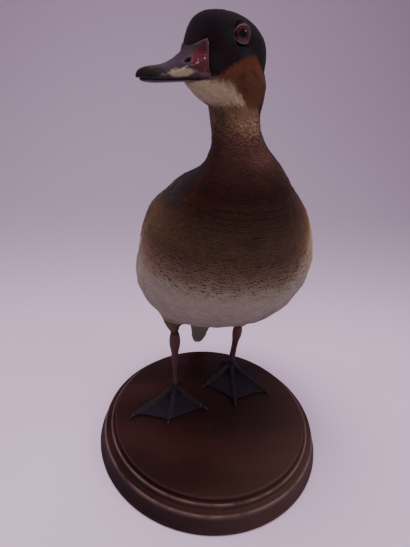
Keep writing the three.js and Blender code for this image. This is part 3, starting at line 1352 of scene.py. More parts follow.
CONTOUR = Vane(
    (0.0, 0.16, 0.38, 0.60, 0.78, 0.91, 0.975, 1.0),
    (0.30, 0.72, 0.97, 1.0, 0.93, 0.68, 0.40, 0.16), 5,
)
SMALL = Vane((0.0, 0.30, 0.65, 0.90, 1.0), (0.45, 0.95, 1.0, 0.62, 0.18), 3, 0.05)
HAIRLIKE = Vane((0.0, 0.45, 0.85, 1.0), (0.55, 1.0, 0.72, 0.16), 3, 0.06)
QUILL = Vane(
    (0.0, 0.08, 0.2, 0.36, 0.52, 0.67, 0.80, 0.90, 0.96, 0.99, 1.0),
    (0.18, 0.55, 0.86, 0.98, 1.0, 0.98, 0.93, 0.80, 0.56, 0.32, 0.12), 7, 0.04, 0.01,
)
POINTED = Vane(
    (0.0, 0.08, 0.2, 0.36, 0.52, 0.67, 0.80, 0.90, 0.96, 1.0),
    (0.2, 0.6, 0.95, 1.0, 0.92, 0.80, 0.63, 0.42, 0.24, 0.06), 7, 0.07, 0.01,
)


@dataclass
class Coat:
    """A growing store of feathers of one kind that becomes one piece."""

    name: str
    vane: Vane
    skin: Skin
    parts: list[Array] = field(default_factory=list)
    tints: list[Array] = field(default_factory=list)
    marks: list[Array] = field(default_factory=list)
    roots: list[Array] = field(default_factory=list)

    def comb(
        self, root: Array, way: Array, length: Array, bend: Array | None = None
    ) -> tuple[Array, Array]:
        """Centre lines of feathers that follow the skin.

        Args:
            root: Places on the skin, n by 3.
            way: Directions, n by 3.
            length: Lengths, n.
            bend: Directions that the tips turn to, or None.

        Returns:
            Centre places and normals, n by stations by 3.
        """
        place, normal = self.skin.settle(root)
        line, up = [place], [normal]
        for i, (t0, t1) in enumerate(zip(self.vane.stations, self.vane.stations[1:])):
            if bend is not None:
                way = way * (1 - t1 * 0.5) + bend * (t1 * 0.5)
            way = unit(way - normal * (way * normal).sum(1, keepdims=True))
            place, normal = self.skin.settle(place + way * (length * (t1 - t0))[:, None])
            line.append(place)
            up.append(unit(normal + up[-1] * 0.5))
        return np.stack(line, 1), np.stack(up, 1)

    def lay(
        self, line: Array, up: Array, half: Array | float, rise: tuple[float, float], tint: Array,
        marks: Array | list[float], rng: Random, drape: bool = True, lift: Array | float = 0.0,
        root_shade: float = 0.82, tips: str = "",
    ) -> None:
        """Adds feathers on given centre lines.

        Args:
            line: Centre places, n by stations by 3.
            up: Normals there.
            half: Half widths.
            rise: Height over the skin at root and tip.
            tint: One colour or n.
            marks: One row of marks or n.
            rng: Random numbers.
            drape: Whether the edges follow the skin.
            lift: Extra height of each feather.
            root_shade: How light the hidden root is beside the tip.
            tips: Code of the tips' colour, if they have their own.
        """
        n, k, m = len(line), len(self.vane.stations), self.vane.lines
        half, lift = np.broadcast_to(half, n), np.broadcast_to(lift, n)
        t = np.array(self.vane.stations)
        run = unit(np.gradient(line, axis=1))
        side = unit(np.cross(up, run))
        wide = half[:, None] * np.array(self.vane.widths)
        edges = []
        for sign in (-1.0, 1.0):
            spot, normal = line + side * (wide * sign)[..., None], up
            if drape:
                spot, normal = (v.reshape(n, k, 3) for v in self.skin.settle(spot.reshape(-1, 3)))
            edges.append((spot, normal))
        x = np.linspace(-1.0, 1.0, m)
        half_span = (edges[1][0] - edges[0][0])[:, :, None] * 0.5
        sag = ((edges[1][0] + edges[0][0]) * 0.5 - line)[:, :, None]
        flat = line[:, :, None] + half_span * x[:, None] + sag * (x * x)[:, None]
        outer = np.where(x[:, None] < 0, edges[0][1][:, :, None], edges[1][1][:, :, None])
        normal = unit(up[:, :, None] * (1.02 - np.abs(x))[:, None] + outer * np.abs(x)[:, None])
        height = rise[0] + (rise[1] - rise[0]) * t**0.85 + lift[:, None] * step(t, -0.05, 0.30)
        across = half[:, None, None]
        tilt = rng.normal(0.0, 0.02, n)[:, None, None] * across * x * t[:, None]
        arch = (1 - x * x) * self.vane.crown * across * (0.4 + 0.6 * np.sin(t * 3.0))[:, None]
        place = flat + normal * (height[:, :, None] + arch + tilt)[..., None]
        reach = np.linalg.norm(line[:, -1] - line[:, 0], axis=1)
        fray = rng.normal(0.0, self.vane.fray, (n, m)) * reach[:, None]
        place += run[:, :, None] * fray[:, None, :, None] * step(t, 0.7, 1)[:, None, None]
        shade = root_shade + (1 - root_shade) * step(t, 0.05, 0.6)
        colour = np.broadcast_to(tint, (n, 3))[:, None, None] * shade[:, None, None]
        if tips:
            near = step(t, 0.80, 0.93)[:, None, None]
            colour = colour * (1 - near) + dye(tips) * near
        marks = np.broadcast_to(marks, (n, 4))[:, None, None]
        self.parts.append(place.reshape(-1, 3))
        self.tints.append(np.broadcast_to(colour, (n, k, m, 3)).reshape(-1, 3))
        self.marks.append(np.broadcast_to(marks, (n, k, m, 4)).reshape(-1, 4))
        self.roots.append(line[:, 0])

    def finish(self, slot: str, material: Material, *nodes: str) -> None:
        """Makes the piece.

        Args:
            slot: The record's slot.
            material: Its material.
            nodes: CAD nodes that it stands for.
        """
        roots = np.concatenate(self.roots)
        k, m, n = len(self.vane.stations), self.vane.lines, len(roots)
        one = self.vane.faces()
        loops = (np.concatenate(one)[None] + (np.arange(n) * k * m)[:, None]).ravel()
        totals = np.tile([len(f) for f in one], n)
        co = np.concatenate(self.parts)
        mesh = bpy.data.meshes.new(self.name)
        mesh.vertices.add(len(co))
        mesh.vertices.foreach_set("co", co.astype(np.float32).ravel())
        mesh.loops.add(len(loops))
        mesh.loops.foreach_set("vertex_index", loops.astype(np.int32))
        mesh.polygons.add(len(totals))
        starts = np.concatenate([[0], np.cumsum(totals)[:-1]])
        mesh.polygons.foreach_set("loop_start", starts.astype(np.int32))
        mesh.update(calc_edges=True)
        sharp = mesh.attributes.new("sharp_edge", "BOOLEAN", "EDGE")
        sharp.data.foreach_set("value", self.vane.rims(mesh))
        piece = put(self.name, mesh)
        paint(piece, TINT, np.concatenate(self.tints))
        paint(piece, MARKS, np.concatenate(self.marks))
        x, t = np.linspace(0.0, 1.0, m), np.array(self.vane.stations)
        own = np.stack([np.tile(x, k), np.repeat(t, m)], 1)
        map_vertices(piece, VANE_MAP, np.tile(own, (n, 1)))
        s, angle = self.skin.anatomy.locate(roots)
        spot = np.stack([angle / (2 * np.pi) + 0.5, s / self.skin.anatomy.length], 1)
        spot = 0.01 + spot * 0.98
        patch = (own - 0.5) * BAKE_PATCH
        map_vertices(piece, BAKE_MAP, (spot[:, None] + patch[None]).reshape(-1, 2))
        install(piece, self.name, slot, material, *nodes)


def scatter(skin: Skin, spacing: Array, rng: Random, crowd: float = 3.2) -> Array:
    """Even, irregular root places on the skin.

    Args:
        skin: The skin.
        spacing: Distance between roots for each of its faces, or 0 where none grow.
        rng: Random numbers.
        crowd: How many places are tried for each that fits.

    Returns:
        Places.
    """
    faces = skin.piece.data.polygons
    corners = np.array([(*f.vertices[:3], f.vertices[-1]) for f in faces])
    area = table(faces, "area", 1)[:, 0]
    hope = np.where(spacing > 0, area * crowd / np.maximum(spacing, 1e-6) ** 2, 0.0)
    face = np.repeat(np.arange(len(hope)), rng.poisson(hope))
    rng.shuffle(face)
    u, v = rng.uniform(0, 1, (2, len(face), 1))
    a, b, c, d = places(skin.piece)[corners[face]].transpose(1, 0, 2)
    tries = (a * (1 - u) + b * u) * (1 - v) + (d * (1 - u) + c * u) * v
    kept = np.full((len(face) + 1, 3), 9.0)
    count = 0
    for p, r in zip(tries, spacing[face]):
        if (np.abs(kept[:count] - p).max(1, initial=0.0) < r * 0.87).any():
            off = kept[:count] - p
            if ((off * off).sum(1) < r * r).any():
                continue
        kept[count] = p
        count += 1
    return kept[:count]


# ---- body coat


@dataclass
class WingChart:
    """Where one folded wing lies: a runs from shoulder to tip, b from its lower edge up."""

    skin: Skin
    side: Side
    bins: int = 24
    start: float = field(init=False)
    end: float = field(init=False)
    low: Array = field(init=False)
    high: Array = field(init=False)

    def read(self) -> "WingChart":
        """Reads the wing's edges from its CAD node.

        Returns:
            This chart.
        """
        s, angle = self.skin.anatomy.locate(places(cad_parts["wing_" + self.side.word]))
        self.start, self.end = s.min(), s.max()
        cell = (s - self.start) / self.length * self.bins
        near = [np.abs(angle[np.abs(cell - m) < 2.0]) for m in range(self.bins + 1)]
        ends = np.array([(turns.min(), turns.max()) for turns in near])
        for _ in range(3):
            ends[1:-1] = (ends[1:-1] * 2 + ends[2:] + ends[:-2]) / 4
        self.low, self.high = ends.T
        return self

    @property
    def length(self) -> float:
        """Shoulder to tip along the middle line."""
        return self.end - self.start

    def edges(self, a: Array) -> tuple[Array, Array]:
        """The wing's lower and upper angles."""
        x = np.linspace(0.0, 1.0, self.bins + 1)
        return np.interp(a, x, self.low), np.interp(a, x, self.high)

    def spot(self, a: Array, b: Array) -> tuple[Array, Array]:
        """Places on the wing.

        Args:
            a: From 0 at the shoulder to 1 at the tip.
            b: From 0 at the lower edge to 1 at the upper.

        Returns:
            Places and normals.
        """
        low, high = self.edges(a)
        s = self.start + np.ravel(a) * self.length
        angle = np.ravel(low + (high - low) * b) * self.side.sign
        place, normal, _ = self.skin.outward(s, angle)
        return place.reshape(*np.shape(a), 3), normal.reshape(*np.shape(a), 3)

    def covers(self, s: Array, angle: Array, margin: float) -> Array:
        """Which places lie well under the wing.

        Args:
            s: Distances along the middle line.
            angle: Angles round it.
            margin: How far inside the edges, in radians.

        Returns:
            True where the wing covers.
        """
        a = (s - self.start) / self.length
        low, high = self.edges(a)
        turn = angle * self.side.sign
        return (a > 0.05) & (a < 0.93) & (turn > low + margin) & (turn < high - margin)


@dataclass
class BodyCoat:
    """Contour feathers in staggered rows round breast, belly, flanks, mantle and rump."""

    skin: Skin
    markings: Markings
    wings: list[WingChart]
    first: float = 0.108
    row_gap: float = 0.0028
    turns: int = 260
    overlap: float = 0.58

    def sizes(self, s: Array, angle: Array) -> tuple[Array, Array]:
        """Length and half width of feathers.

        Args:
            s: Along the middle line.
            angle: Round it.

        Returns:
            Lengths and half widths in metres.
        """
        turn, past = np.abs(angle), s - self.first
        length, half = (
            np.interp(past, [0.0, 0.02, 0.06, 0.12], sizes)
            for sizes in ([5.2, 6.8, 9.4, 13.0], [1.4, 2.0, 3.0, 4.4])
        )
        flank = hill(turn, 1.25, 0.55) * step(s, 0.16, 0.24)
        back, tail = step(turn, 1.7, 2.1), step(s, 0.31, 0.36)
        length = length + 7.0 * flank + 3.0 * back + 6.0 * tail
        return length * MM, (half + 1.6 * flank + 0.8 * back) * MM

    def roots(self, rng: Random) -> tuple[Array, Array, Array]:
        """Root places in rows.

        Args:
            rng: Random numbers.

        Returns:
            Places, distances along the middle line and angles.
        """
        a = self.skin.anatomy
        found = []
        last = a.length - 0.052
        angle = np.linspace(-math.pi, math.pi, self.turns + 1)
        rows = [self.first]
        while rows[-1] < last:
            gap = np.interp(rows[-1] - self.first, [0.0, 0.02, 0.06, 0.12], [0.7, 0.88, 1.1, 1.5])
            rows.append(rows[-1] + self.row_gap * float(gap))
        for row, s in enumerate(rows):
            ring, _, met = self.skin.outward(np.full(len(angle), s), angle)
            ring, turn = ring[met], angle[met]
            gaps = np.linalg.norm(np.diff(ring, axis=0), axis=1)
            _, half = self.sizes(np.full(len(ring), s), turn)
            cost = np.concatenate([[0], np.cumsum(gaps / (half[:-1] * 2 * self.overlap))])
            steps = max(6, round(cost[-1]))
            want = (np.arange(steps) + 0.5 * (row % 2)) / steps * cost[-1]
            want = np.clip(want + rng.uniform(-0.16, 0.16, steps), 0, cost[-1])
            jitter = rng.uniform(-0.14, 0.14, steps) * self.row_gap
            found.append(np.stack([s + jitter, np.interp(want, cost, turn)], 1))
        every = np.concatenate(found)
        keep = np.ones(len(every), bool)
        for wing in self.wings:
            keep &= ~wing.covers(every[:, 0], every[:, 1], 0.16)
        every = every[keep]
        place, _, met = self.skin.outward(every[:, 0], every[:, 1])
        met &= a.on_thigh(place) < 0.5
        return place[met], every[met, 0], every[met, 1]

    def build(self, material: Material, rng: Random) -> None:
        """Makes the coat's pieces.

        Args:
            material: The plumage.
            rng: Random numbers.
        """
        a = self.skin.anatomy
        place, s, angle = self.roots(rng)
        turn = np.abs(angle)
        groups = {
            "coat_breast": (turn < 1.3) & (s < 0.178),
            "coat_lower_breast": (turn < 1.3) & (s >= 0.178) & (s < 0.248),
            "coat_belly": (turn < 1.3) & (s >= 0.248),
            "coat_left_side": (turn >= 1.3) & (angle > 0),
            "coat_right_side": (turn >= 1.3) & (angle <= 0),
        }
        for name, chosen in groups.items():
            coat = Coat(name, CONTOUR, self.skin)
            p, along = place[chosen], s[chosen]
            length, half = self.sizes(along, angle[chosen])
            length = length * rng.uniform(0.88, 1.12, len(p))
            half = half * rng.uniform(0.92, 1.08, len(p))
            way = a.at(along, a.down) + rng.normal(0, 0.04, (len(p), 3))
            line, up = coat.comb(p, way, length)
            seen = line[:, 5]
            tint = self.markings.tint(seen) * rng.uniform(0.93, 1.07, (len(p), 1))
            marks = self.markings.marks(seen, rng)
            tall = np.interp(along - self.first, [0.0, 0.02, 0.05, 0.14], [0.15, 0.9, 0.5, 0.1])
            full = step(up[:, 0] @ unit(np.array([0.55, -0.25, -0.8])), 0.82, 0.98)
            tall = (tall + 1.9 * full + rng.uniform(-0.02, 0.02, len(p))) * MM
            rise = (-0.0002, 0.00032)
            coat.lay(line, up, half, rise, tint, marks, rng, lift=tall, root_shade=0.96)
            coat.finish("plumage", material)


@dataclass
class SmallCoat:
    """The fine feathers of head, neck and thighs, scattered evenly."""

    skin: Skin
    markings: Markings
    thigh_gap: float = 2.1

    def spacing(self, p: Array) -> Array:
        """Distance between roots at places on the skin.

        Args:
            p: Places.

        Returns:
            Distances in metres, 0 where no small feather grows.
        """
        a = self.skin.anatomy
        ahead, aside, above = a.in_head(p)
        s, _ = a.locate(p)
        out = np.abs(aside)
        eye = np.linalg.norm(np.stack([ahead, out - 12.0, above], 1), axis=1)
        near = np.minimum(np.maximum(eye - 7.0, 0.0), np.maximum(30.0 - ahead, 0.0) + 3.0)
        gap = 0.86 + 0.30 * step(near, 2, 16) + 0.25 * step(above, -14, -34)
        gap = gap + 0.30 * step(above, -34, -62)
        ring = np.hypot(ahead / 6.2, above / 5.0)
        gap = np.where((ring < 1.0) & (out > 8.0), 0.0, gap)
        gap = np.where(bare_depth(ahead, aside, above) > 0.0, 0.0, gap)
        gap = np.where(s > BodyCoat.first + 0.002, 0.0, gap)
        return gap * MM

    def flow(self, p: Array) -> Array:
        """Which way the small feathers lie.

        Args:
            p: Places.

        Returns:
            Directions, not yet in the surface.
        """
        a = self.skin.anatomy
        ahead, aside, above = a.in_head(p)
        s, _ = a.locate(p)
        sink = 0.10 + 0.75 * step(above, 4, -20) + 0.9 * step(ahead, -8, -22)
        way = -a.ahead[None] - a.above[None] * sink[:, None]
        out = np.clip(aside / 7.0, -1.0, 1.0) * step(ahead, 8, 26) * 0.4
        way = unit(way + a.aside[None] * out[:, None])
        down = a.at(s, a.down)
        neck = step(above, -20, -38)[:, None]
        return unit(way * (1 - neck) + down * neck)

    def thighs(self, material: Material, rng: Random) -> None:
        """Makes the coat of both visible thighs down to the ankles.

        Args:
            material: The plumage.
            rng: Random numbers.
        """
        middles = table(self.skin.piece.data.polygons, "center", 3)
        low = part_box("thigh_left")[0].z
        share = self.skin.anatomy.on_thigh(middles)
        gap = self.thigh_gap - 0.6 * step(middles[:, 2], low + 0.02, low)
        root = scatter(self.skin, np.where(share > 0.35, gap, 0.0) * MM, rng)
        n = len(root)
        coat = Coat("coat_thighs", SMALL, self.skin)
        length = rng.uniform(5.2, 6.8, n) * MM * (0.65 + 0.35 * step(root[:, 2], low, low + 0.02))
        way = np.array([0.0, -0.12, -1.0]) + rng.normal(0, 0.08, (n, 3))
        line, up = coat.comb(root, way, length)
        tint = self.markings.tint(line[:, -2]) * rng.uniform(0.85, 1.15, (n, 1))
        half = rng.uniform(1.2, 1.5, n) * MM
        coat.lay(line, up, half, (-0.0002, 0.0009), tint, [0.15, 0.0, 0.3, 2.0], rng)
        coat.finish("plumage", material)

    def head_and_neck(self, material: Material, rng: Random) -> None:
        """Makes the coats of head and neck.

        Args:
            material: The plumage.
            rng: Random numbers.
        """
        middles = table(self.skin.piece.data.polygons, "center", 3)
        gap = np.zeros(len(middles))
        high = middles[:, 2] > self.skin.anatomy.table_top + 0.20
        gap[high] = self.spacing(middles[high])
        place = scatter(self.skin, gap, rng)
        _, _, above = self.skin.anatomy.in_head(place)
        head = above > -38.0
        for name, chosen, vane, width in (
            ("coat_head", head, HAIRLIKE, 0.60),
            ("coat_neck", ~head, SMALL, 0.74),
        ):
            p = place[chosen]
            local = self.spacing(p) / MM
            local = np.where(local > 0, local, 1.1)
            coat = Coat(name, vane, self.skin)
            length = local * 3.3 * rng.uniform(0.85, 1.15, len(p)) * MM
            half = local * width * rng.uniform(0.9, 1.1, len(p)) * MM
            way = self.flow(p) + rng.normal(0, 0.045, (len(p), 3))
            line, up = coat.comb(p, way, length)
            seen = line[:, -2]
            tint = self.markings.tint(seen) * rng.uniform(0.91, 1.09, (len(p), 1))
            marks = self.markings.marks(seen, rng)
            marks[:, :3] *= step(above[chosen], -36, -44)[:, None]
            tall = 0.15 + 0.10 * step(local.mean(), 0.9, 2.0)
            puff = 0.6 * hill(above[chosen], -44, 16) * MM
            rise = (-0.0002, tall * MM)
            coat.lay(line, up, half, rise, tint, marks, rng, lift=puff, root_shade=0.97)
            coat.finish("plumage", material)


def bare_depth(ahead: Array, aside: Array, above: Array) -> Array:
    """How far places lie inside the bill's bare skin, in millimetres; negative outside.

    Args:
        ahead: Toward the bill.
        aside: Away from the middle, more than 0 on the left.
        above: Toward the crown.

    Returns:
        Distances.
    """
    side = np.interp(above, [-24, -21.6, -19, -15, -3], [22.6, 22.9, 24.2, 25.2, 25.4])
    out = np.where(aside < 0, -0.45 * aside, aside)
    top = -6.7 + 3.7 * (np.clip(out, 0, 9.5) / 8.7) ** 1.4
    under = above + np.interp(ahead, [21.0, 24.0, 28.0], [22.3, 23.4, 24.7])
    return np.minimum(np.minimum(ahead - side, top - above), under)


# ---- wings and tail


@dataclass
class Wing:
    """One folded wing: primaries, speculum, tertials, coverts and scapulars in their layers."""

    chart: WingChart
    markings: Markings
    primaries: int = 8
    secondaries: int = 9
    tertials: int = 4
    scapulars: int = 5

    def _fan(
        self, vane: Vane, along: tuple[Array, Array], up: tuple[Array, Array], bow: float = 1.0
    ) -> tuple[Array, Array]:
        """Centre lines between root and tip places on the wing.

        Args:
            vane: The feather.
            along: Roots and tips along the wing.
            up: Roots and tips up the wing.
            bow: How late the line turns.

        Returns:
            Places and normals.
        """
        t = np.array(vane.stations)[None]
        root, tip, low, high = (v[:, None] for v in np.broadcast_arrays(*along, *up))
        place, normal = self.chart.spot(root + (tip - root) * t, low + (high - low) * t**bow)
        for way in (place, normal) * 2:
            way[:, 1:-1] = (way[:, 1:-1] * 2 + way[:, 2:] + way[:, :-2]) / 4
        return place, unit(normal)

    def build(self, flight: Material, soft: Material, rng: Random) -> None:
        """Makes the wing's pieces.

        Args:
            flight: The flight feather finish.
            soft: The plumage finish.
            rng: Random numbers.
        """
        word, skin = self.chart.side.word, self.chart.skin
        long = Coat("primaries_" + word, POINTED, skin)
        i = np.linspace(0.0, 1.0, self.primaries)
        ends = (0.46 + 0.10 * i, 0.99 - 0.20 * i), (0.06 + 0.34 * i, 0.42 + 0.30 * i)
        line, up = self._fan(POINTED, *ends, 1.3)
        tint = dye("4a4442") * rng.uniform(0.92, 1.08, (len(i), 1))
        long.lay(
            line, up, 5.2 * MM, (0.0001, 0.0005), tint, [0.08, 0.0, 0.55, 0.0], rng,
            drape=False, lift=0.0002 + 0.0007 * i, root_shade=0.9,
        )
        long.finish("flight_feather", flight)

        broad = Coat("quills_" + word, QUILL, skin)
        i = np.linspace(0.0, 1.0, self.secondaries)
        ends = (0.36, 0.70 + 0.03 * np.sin(i * 3)), (0.05 + 0.62 * i, 0.10 + 0.64 * i)
        line, up = self._fan(QUILL, *ends)
        tint = dyed(dye("17404a"), ("1f3a66", 0.6 * np.sin(i * 6.0) ** 2))
        broad.lay(
            line, up, 6.6 * MM, (0.0002, 0.0010), tint, [0.85, 0.0, 0.0, 0.0], rng,
            lift=0.0003 * i, root_shade=0.8, tips="b9b2a8",
        )
        i = np.linspace(0.0, 1.0, self.tertials)
        ends = (0.30 + 0.03 * i, 0.86 - 0.12 * i), (0.60 + 0.28 * i, 0.72 + 0.20 * i)
        line, up = self._fan(QUILL, *ends, 1.2)
        broad.lay(
            line, up, 8.2 * MM, (0.0007, 0.0015), dye("252430"), [0.45, 0.0, 0.25, 0.0], rng,
            lift=0.0003 * i, root_shade=0.9, tips="3d3b40",
        )
        broad.finish("flight_feather", flight)

        coverts = Coat("coverts_" + word, CONTOUR, skin)
        rows = [(0.245, 0.20, 6.6, 13, 0.0011), (0.185, 0.145, 6.0, 14, 0.0012)]
        rows += [(a, 0.098, 5.2, 15, 0.0012) for a in np.arange(0.155, -0.03, -0.026)]
        for row, (a, reach, half, count, tall) in enumerate(rows):
            i = (np.arange(count) + 0.5 * (row % 2)) / (count - 0.5)
            i = i + rng.uniform(-0.012, 0.012, count)
            root = a + rng.uniform(-0.004, 0.004, count)
            line, up = self._fan(CONTOUR, (root, root + reach), (i - 0.02, i))
            level = line[:, -2, 2] - self.markings.anatomy.table_top
            edge = np.maximum(step(i, 0.30, 0.12), step(i, 0.75, 0.45)) * step(level, 0.215, 0.195)
            edge = np.maximum(edge, step(i, 0.16, 0.06))
            tint = dyed(dye("2e2523"), ("26201f", step(i, 0.3, 1)))
            tint = over(tint, self.markings.tint(line[:, -2], False), edge)
            tint = tint * rng.uniform(0.88, 1.12, (count, 1))
            marks = np.array([0.0, 0.0, 0.35, 3.0]) * (1 - edge)[:, None]
            coverts.lay(line, up, half * MM, (tall * 0.35, tall), tint, marks, rng)
        coverts.finish("plumage", soft, "wing_" + word)

        shoulder = Coat("scapulars_" + word, QUILL, skin)
        i = np.linspace(0.0, 1.0, self.scapulars)
        for row in range(5):
            root = 0.005 + 0.062 * row + rng.uniform(-0.006, 0.006, len(i))
            along = (root, root + 0.20 + 0.012 * row)
            line, up = self._fan(QUILL, along, (0.74 + 0.30 * i, 0.78 + 0.24 * i))
            tint = dyed(dye("241f22"), ("1f1b22", i)) * rng.uniform(0.9, 1.1, (len(i), 1))
            shoulder.lay(
                line, up, 7.4 * MM, (0.0006, 0.0014), tint, [0.30, 0.0, 0.15, 0.0], rng,
                lift=0.0002 * i, root_shade=0.85,
            )
        shoulder.finish("flight_feather", flight)


@dataclass
class Tail:
    """The closed tail: twelve feathers stacked with the middle pair on top."""

    skin: Skin
    count: int = 12
    reach: float = 0.074

    def build(self, material: Material, rng: Random) -> None:
        """Makes the tail's piece.

        Args:
            material: The flight feather finish.
            rng: Random numbers.
        """
        a = self.skin.anatomy
        coat = Coat("tail_feathers", QUILL, self.skin)
        low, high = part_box("tail")
        spread, level = (high.x - low.x) / 2, np.array([1.0, 0.0, 0.0])
        u = np.linspace(-1.0, 1.0, self.count)
        u = u[np.argsort(-np.abs(u))]
        t = np.array(QUILL.stations)[None]
        end = a.length - 0.0005 - 0.016 * np.abs(u)[:, None] ** 1.5
        start = a.length - self.reach
        s = start + (end - start) * t
        x = spread * u[:, None] * (0.25 - 0.05 * np.sin(t * 1.4))
        back = a.at(s, a.back)
        arch = 0.0022 * (1 - (x / spread) ** 2 * 1.6)
        line = a.at(s, a.line) + level * x[..., None] + back * arch[..., None]
        up = unit(back + level * (x / spread)[..., None] * 0.35)
        tint = dye("6b6055") * rng.uniform(0.9, 1.1, (self.count, 1))
        coat.lay(
            line, up, 5.8 * MM, (-0.0006, 0.0), tint, [0.25, 0.0, 0.2, 0.0], rng,
            drape=False, lift=0.0016 * (1 - np.abs(u)), root_shade=0.95, tips="b3a896",
        )
        coat.finish("flight_feather", material, "tail")


# ---- bill and eyes


@dataclass
class Bill:
    """The bill with its bare skin, nostrils and nail, and the lower mandible."""

    anatomy: Anatomy
    grain: float = 0.00042
    swell: float = 0.0008
    sink: float = -0.0006
    nostril: tuple[float, float] = (37.7, 6.3)
    nail: tuple[float, float] = (64.6, 4.4)

    def _cut(self, piece: Piece, ahead: float, keep_front: bool) -> Piece:
        """Cuts a closed piece by a plane across the head.

        Args:
            piece: The object.
            ahead: Where the plane lies.
            keep_front: Whether the front part stays.

        Returns:
            The object.
        """
        with editing(piece):
            bpy.ops.mesh.bisect(
                plane_co=self.anatomy.from_head(ahead, 0.0, 0.0),
                plane_no=self.anatomy.ahead,
                use_fill=True,
                clear_inner=keep_front,
                clear_outer=not keep_front,
            )
        return piece

    def plugs(self) -> list[Piece]:
        """The roots of both mandibles, closed, which fill their pocket in the head."""
        return [self._cut(solid_copy(node), 31.0, False) for node in ("bill_upper", "bill_lower")]

    def _tint(
        self, ahead: Array, aside: Array, above: Array, inside: Array, p: Array
    ) -> tuple[Array, Array]:
        """Colours and gloss of the upper bill.

        Args:
            ahead: Toward the tip.
            aside: Away from the middle, more than 0 on the left.
            above: Upward.
            inside: How deep in the bare skin.
            p: Places.

        Returns:
            Linear colours and gloss.
        """
        out = np.abs(aside)
        wobble = waves(p, 0.006, 21) * 0.8
        low = np.interp(ahead, [24, 34, 45, 55, 62, 66], [-21.4, -21.6, -22, -21.8, -22.6, -23])
        edge = np.interp(
            above,
            [-22.5, -20.6, -18.2, -14, -9.8, -7.1, -4],
            [25.5, 31.5, 38, 36.4, 32.4, 29.4, 26.5],
        )
        red = step(ahead - edge + wobble * 0.6, 0.9, -0.9) * step(out, 3.6, 5.4)
        near = step(above, -19.5, -16.5) * step(aside, 3.5, 6)
        far = step(above, -9, -12) * step(-aside, 3.5, 6)
        slope = -20.1 - 0.05 * (ahead - 45.0)
        shape = np.hypot((ahead - 44.5) / 9.5, (above - slope) / 2.1) + 0.16 * waves(p, 0.004, 23)
        rim = hill(above - low, 1, 0.9) * step(ahead, 33, 40) * step(ahead, 62, 54)
        patch = np.maximum(step(shape, 1.25, 0.65), rim * 0.7) * step(out, 3, 5.5)
        crease = step(self._crease(ahead, above), 0.7, 0.25)
        pit = self._pit(ahead, out, above)
        colour = dyed(
            dye("33272f"),
            ("291f24", step(waves(p, 0.012, 22), 0.0, 1.0) * 0.5),
            ("241d1b", step(ahead + wobble, 54, 62)),
            # painted highlight: lighter olive on the top of the bill before the nail
            ("3d3529", hill(ahead, 59, 5) * step(out, 5.5, 2) * 0.6),
            ("1a1316", step(ahead, 61, 64.5)),
            ("3c0c16", red),
            ("5c1624", red * hill(above, -13.5, 6.5) * 0.6),
            ("573437", step(inside, 1.5, 0.7) * np.maximum(near, far) * 0.75),
            ("93816a", patch),
            ("241b1d", crease * step(ahead, 51, 54) * step(ahead, 61, 59) * 0.6),
            ("1c1214", step(above - low, -0.5, -1.4) * step(ahead, 60, 52)),
            ("51444a", hill(pit, 1.6, 0.4) * 0.5),
            # painted shade: the nostril's pit is painted near black
            ("0c0607", step(pit, 1.15, 0.85)),
        )
        return colour, 0.12 + 0.88 * red

    def _crease(self, ahead: Array, above: Array) -> Array:
        """How far places lie from the line that rises along the bill's side to its nail."""
        line = np.interp(ahead, [50, 53, 57, 59.5, 61], [-23, -22, -20.7, -19, -18])
        return np.abs(above - line)

    def _pit(self, ahead: Array, out: Array, above: Array) -> Array:
        """How far places lie from the nearer nostril, 1 on its edge."""
        near = np.hypot((ahead - self.nostril[0]) / 2.1, (out - self.nostril[1]) / 1.15)
        return near + 4.0 * step(above, -16, -18)

    def build(self, material: Material) -> None:
        """Makes both mandibles.

        Args:
            material: The bill's finish.
        """
        a = self.anatomy
        face = self._cut(solid_copy("head"), 17.0, True)
        apply_modifier(face, "DISPLACE", strength=self.swell, mid_level=0.0)
        bill = join([solid_copy("bill_upper", self.swell), face], "bill_upper_skin")
        remeshed(bill, self.grain, 3)
        apply_modifier(bill, "DISPLACE", strength=self.sink, mid_level=0.0)
        apply_modifier(bill, "SMOOTH", iterations=3, factor=0.5)
        ahead, _, above = a.in_head(places(bill))
        group = bill.vertex_groups.new(name="brow")
        soft = np.flatnonzero((ahead > 29) & (ahead < 45) & (above > -16.0))
        group.add(soft.tolist(), 1.0, "REPLACE")
        apply_modifier(bill, "SMOOTH", vertex_group="brow", iterations=400, factor=0.5)
        p = places(bill)
        ahead, aside, above = a.in_head(p)
        out = np.abs(aside)
        inside = bare_depth(ahead, aside, above)
        hidden = step(bare_depth(ahead, aside, np.maximum(above, -21.0)), 0.2, -1.0)
        hidden = np.maximum(hidden, step(above, -23.6, -24.4))[:, None]
        core = a.from_head(np.minimum(ahead, 24.0) * 0.5 + 9.0, 0.0, -13.0)
        p = p + (core - p) * 0.30 * hidden
        pit = self._pit(ahead, out, above)
        nail = np.hypot((ahead - self.nail[0]) / 4.6, aside / self.nail[1])
        front = step(above, -23.2, -22.4) * step(ahead, 57, 59)
        crease = step(self._crease(ahead, above), 0.7, 0.1) * step(ahead, 50, 52)
        shift = (
            0.2 * hill(pit, 1.7, 0.5)
            - 1.3 * step(pit, 1.25, 0.5)
            + front * (0.28 * step(nail, 1.05, 0.9) - 0.2 * hill(nail, 1.12, 0.16))
            - 0.22 * crease * step(ahead, 61, 59) * step(out, 2.5, 4.5)
            + 0.16 * waves(p, 0.003, 31) * step(ahead, 40, 30) * step(inside, 0.2, 1.2)
        )
        move_to(bill, p + normals(bill) * (shift * MM)[:, None])
        self._dress(bill, "upper_skin", material, *self._tint(ahead, aside, above, inside, p))

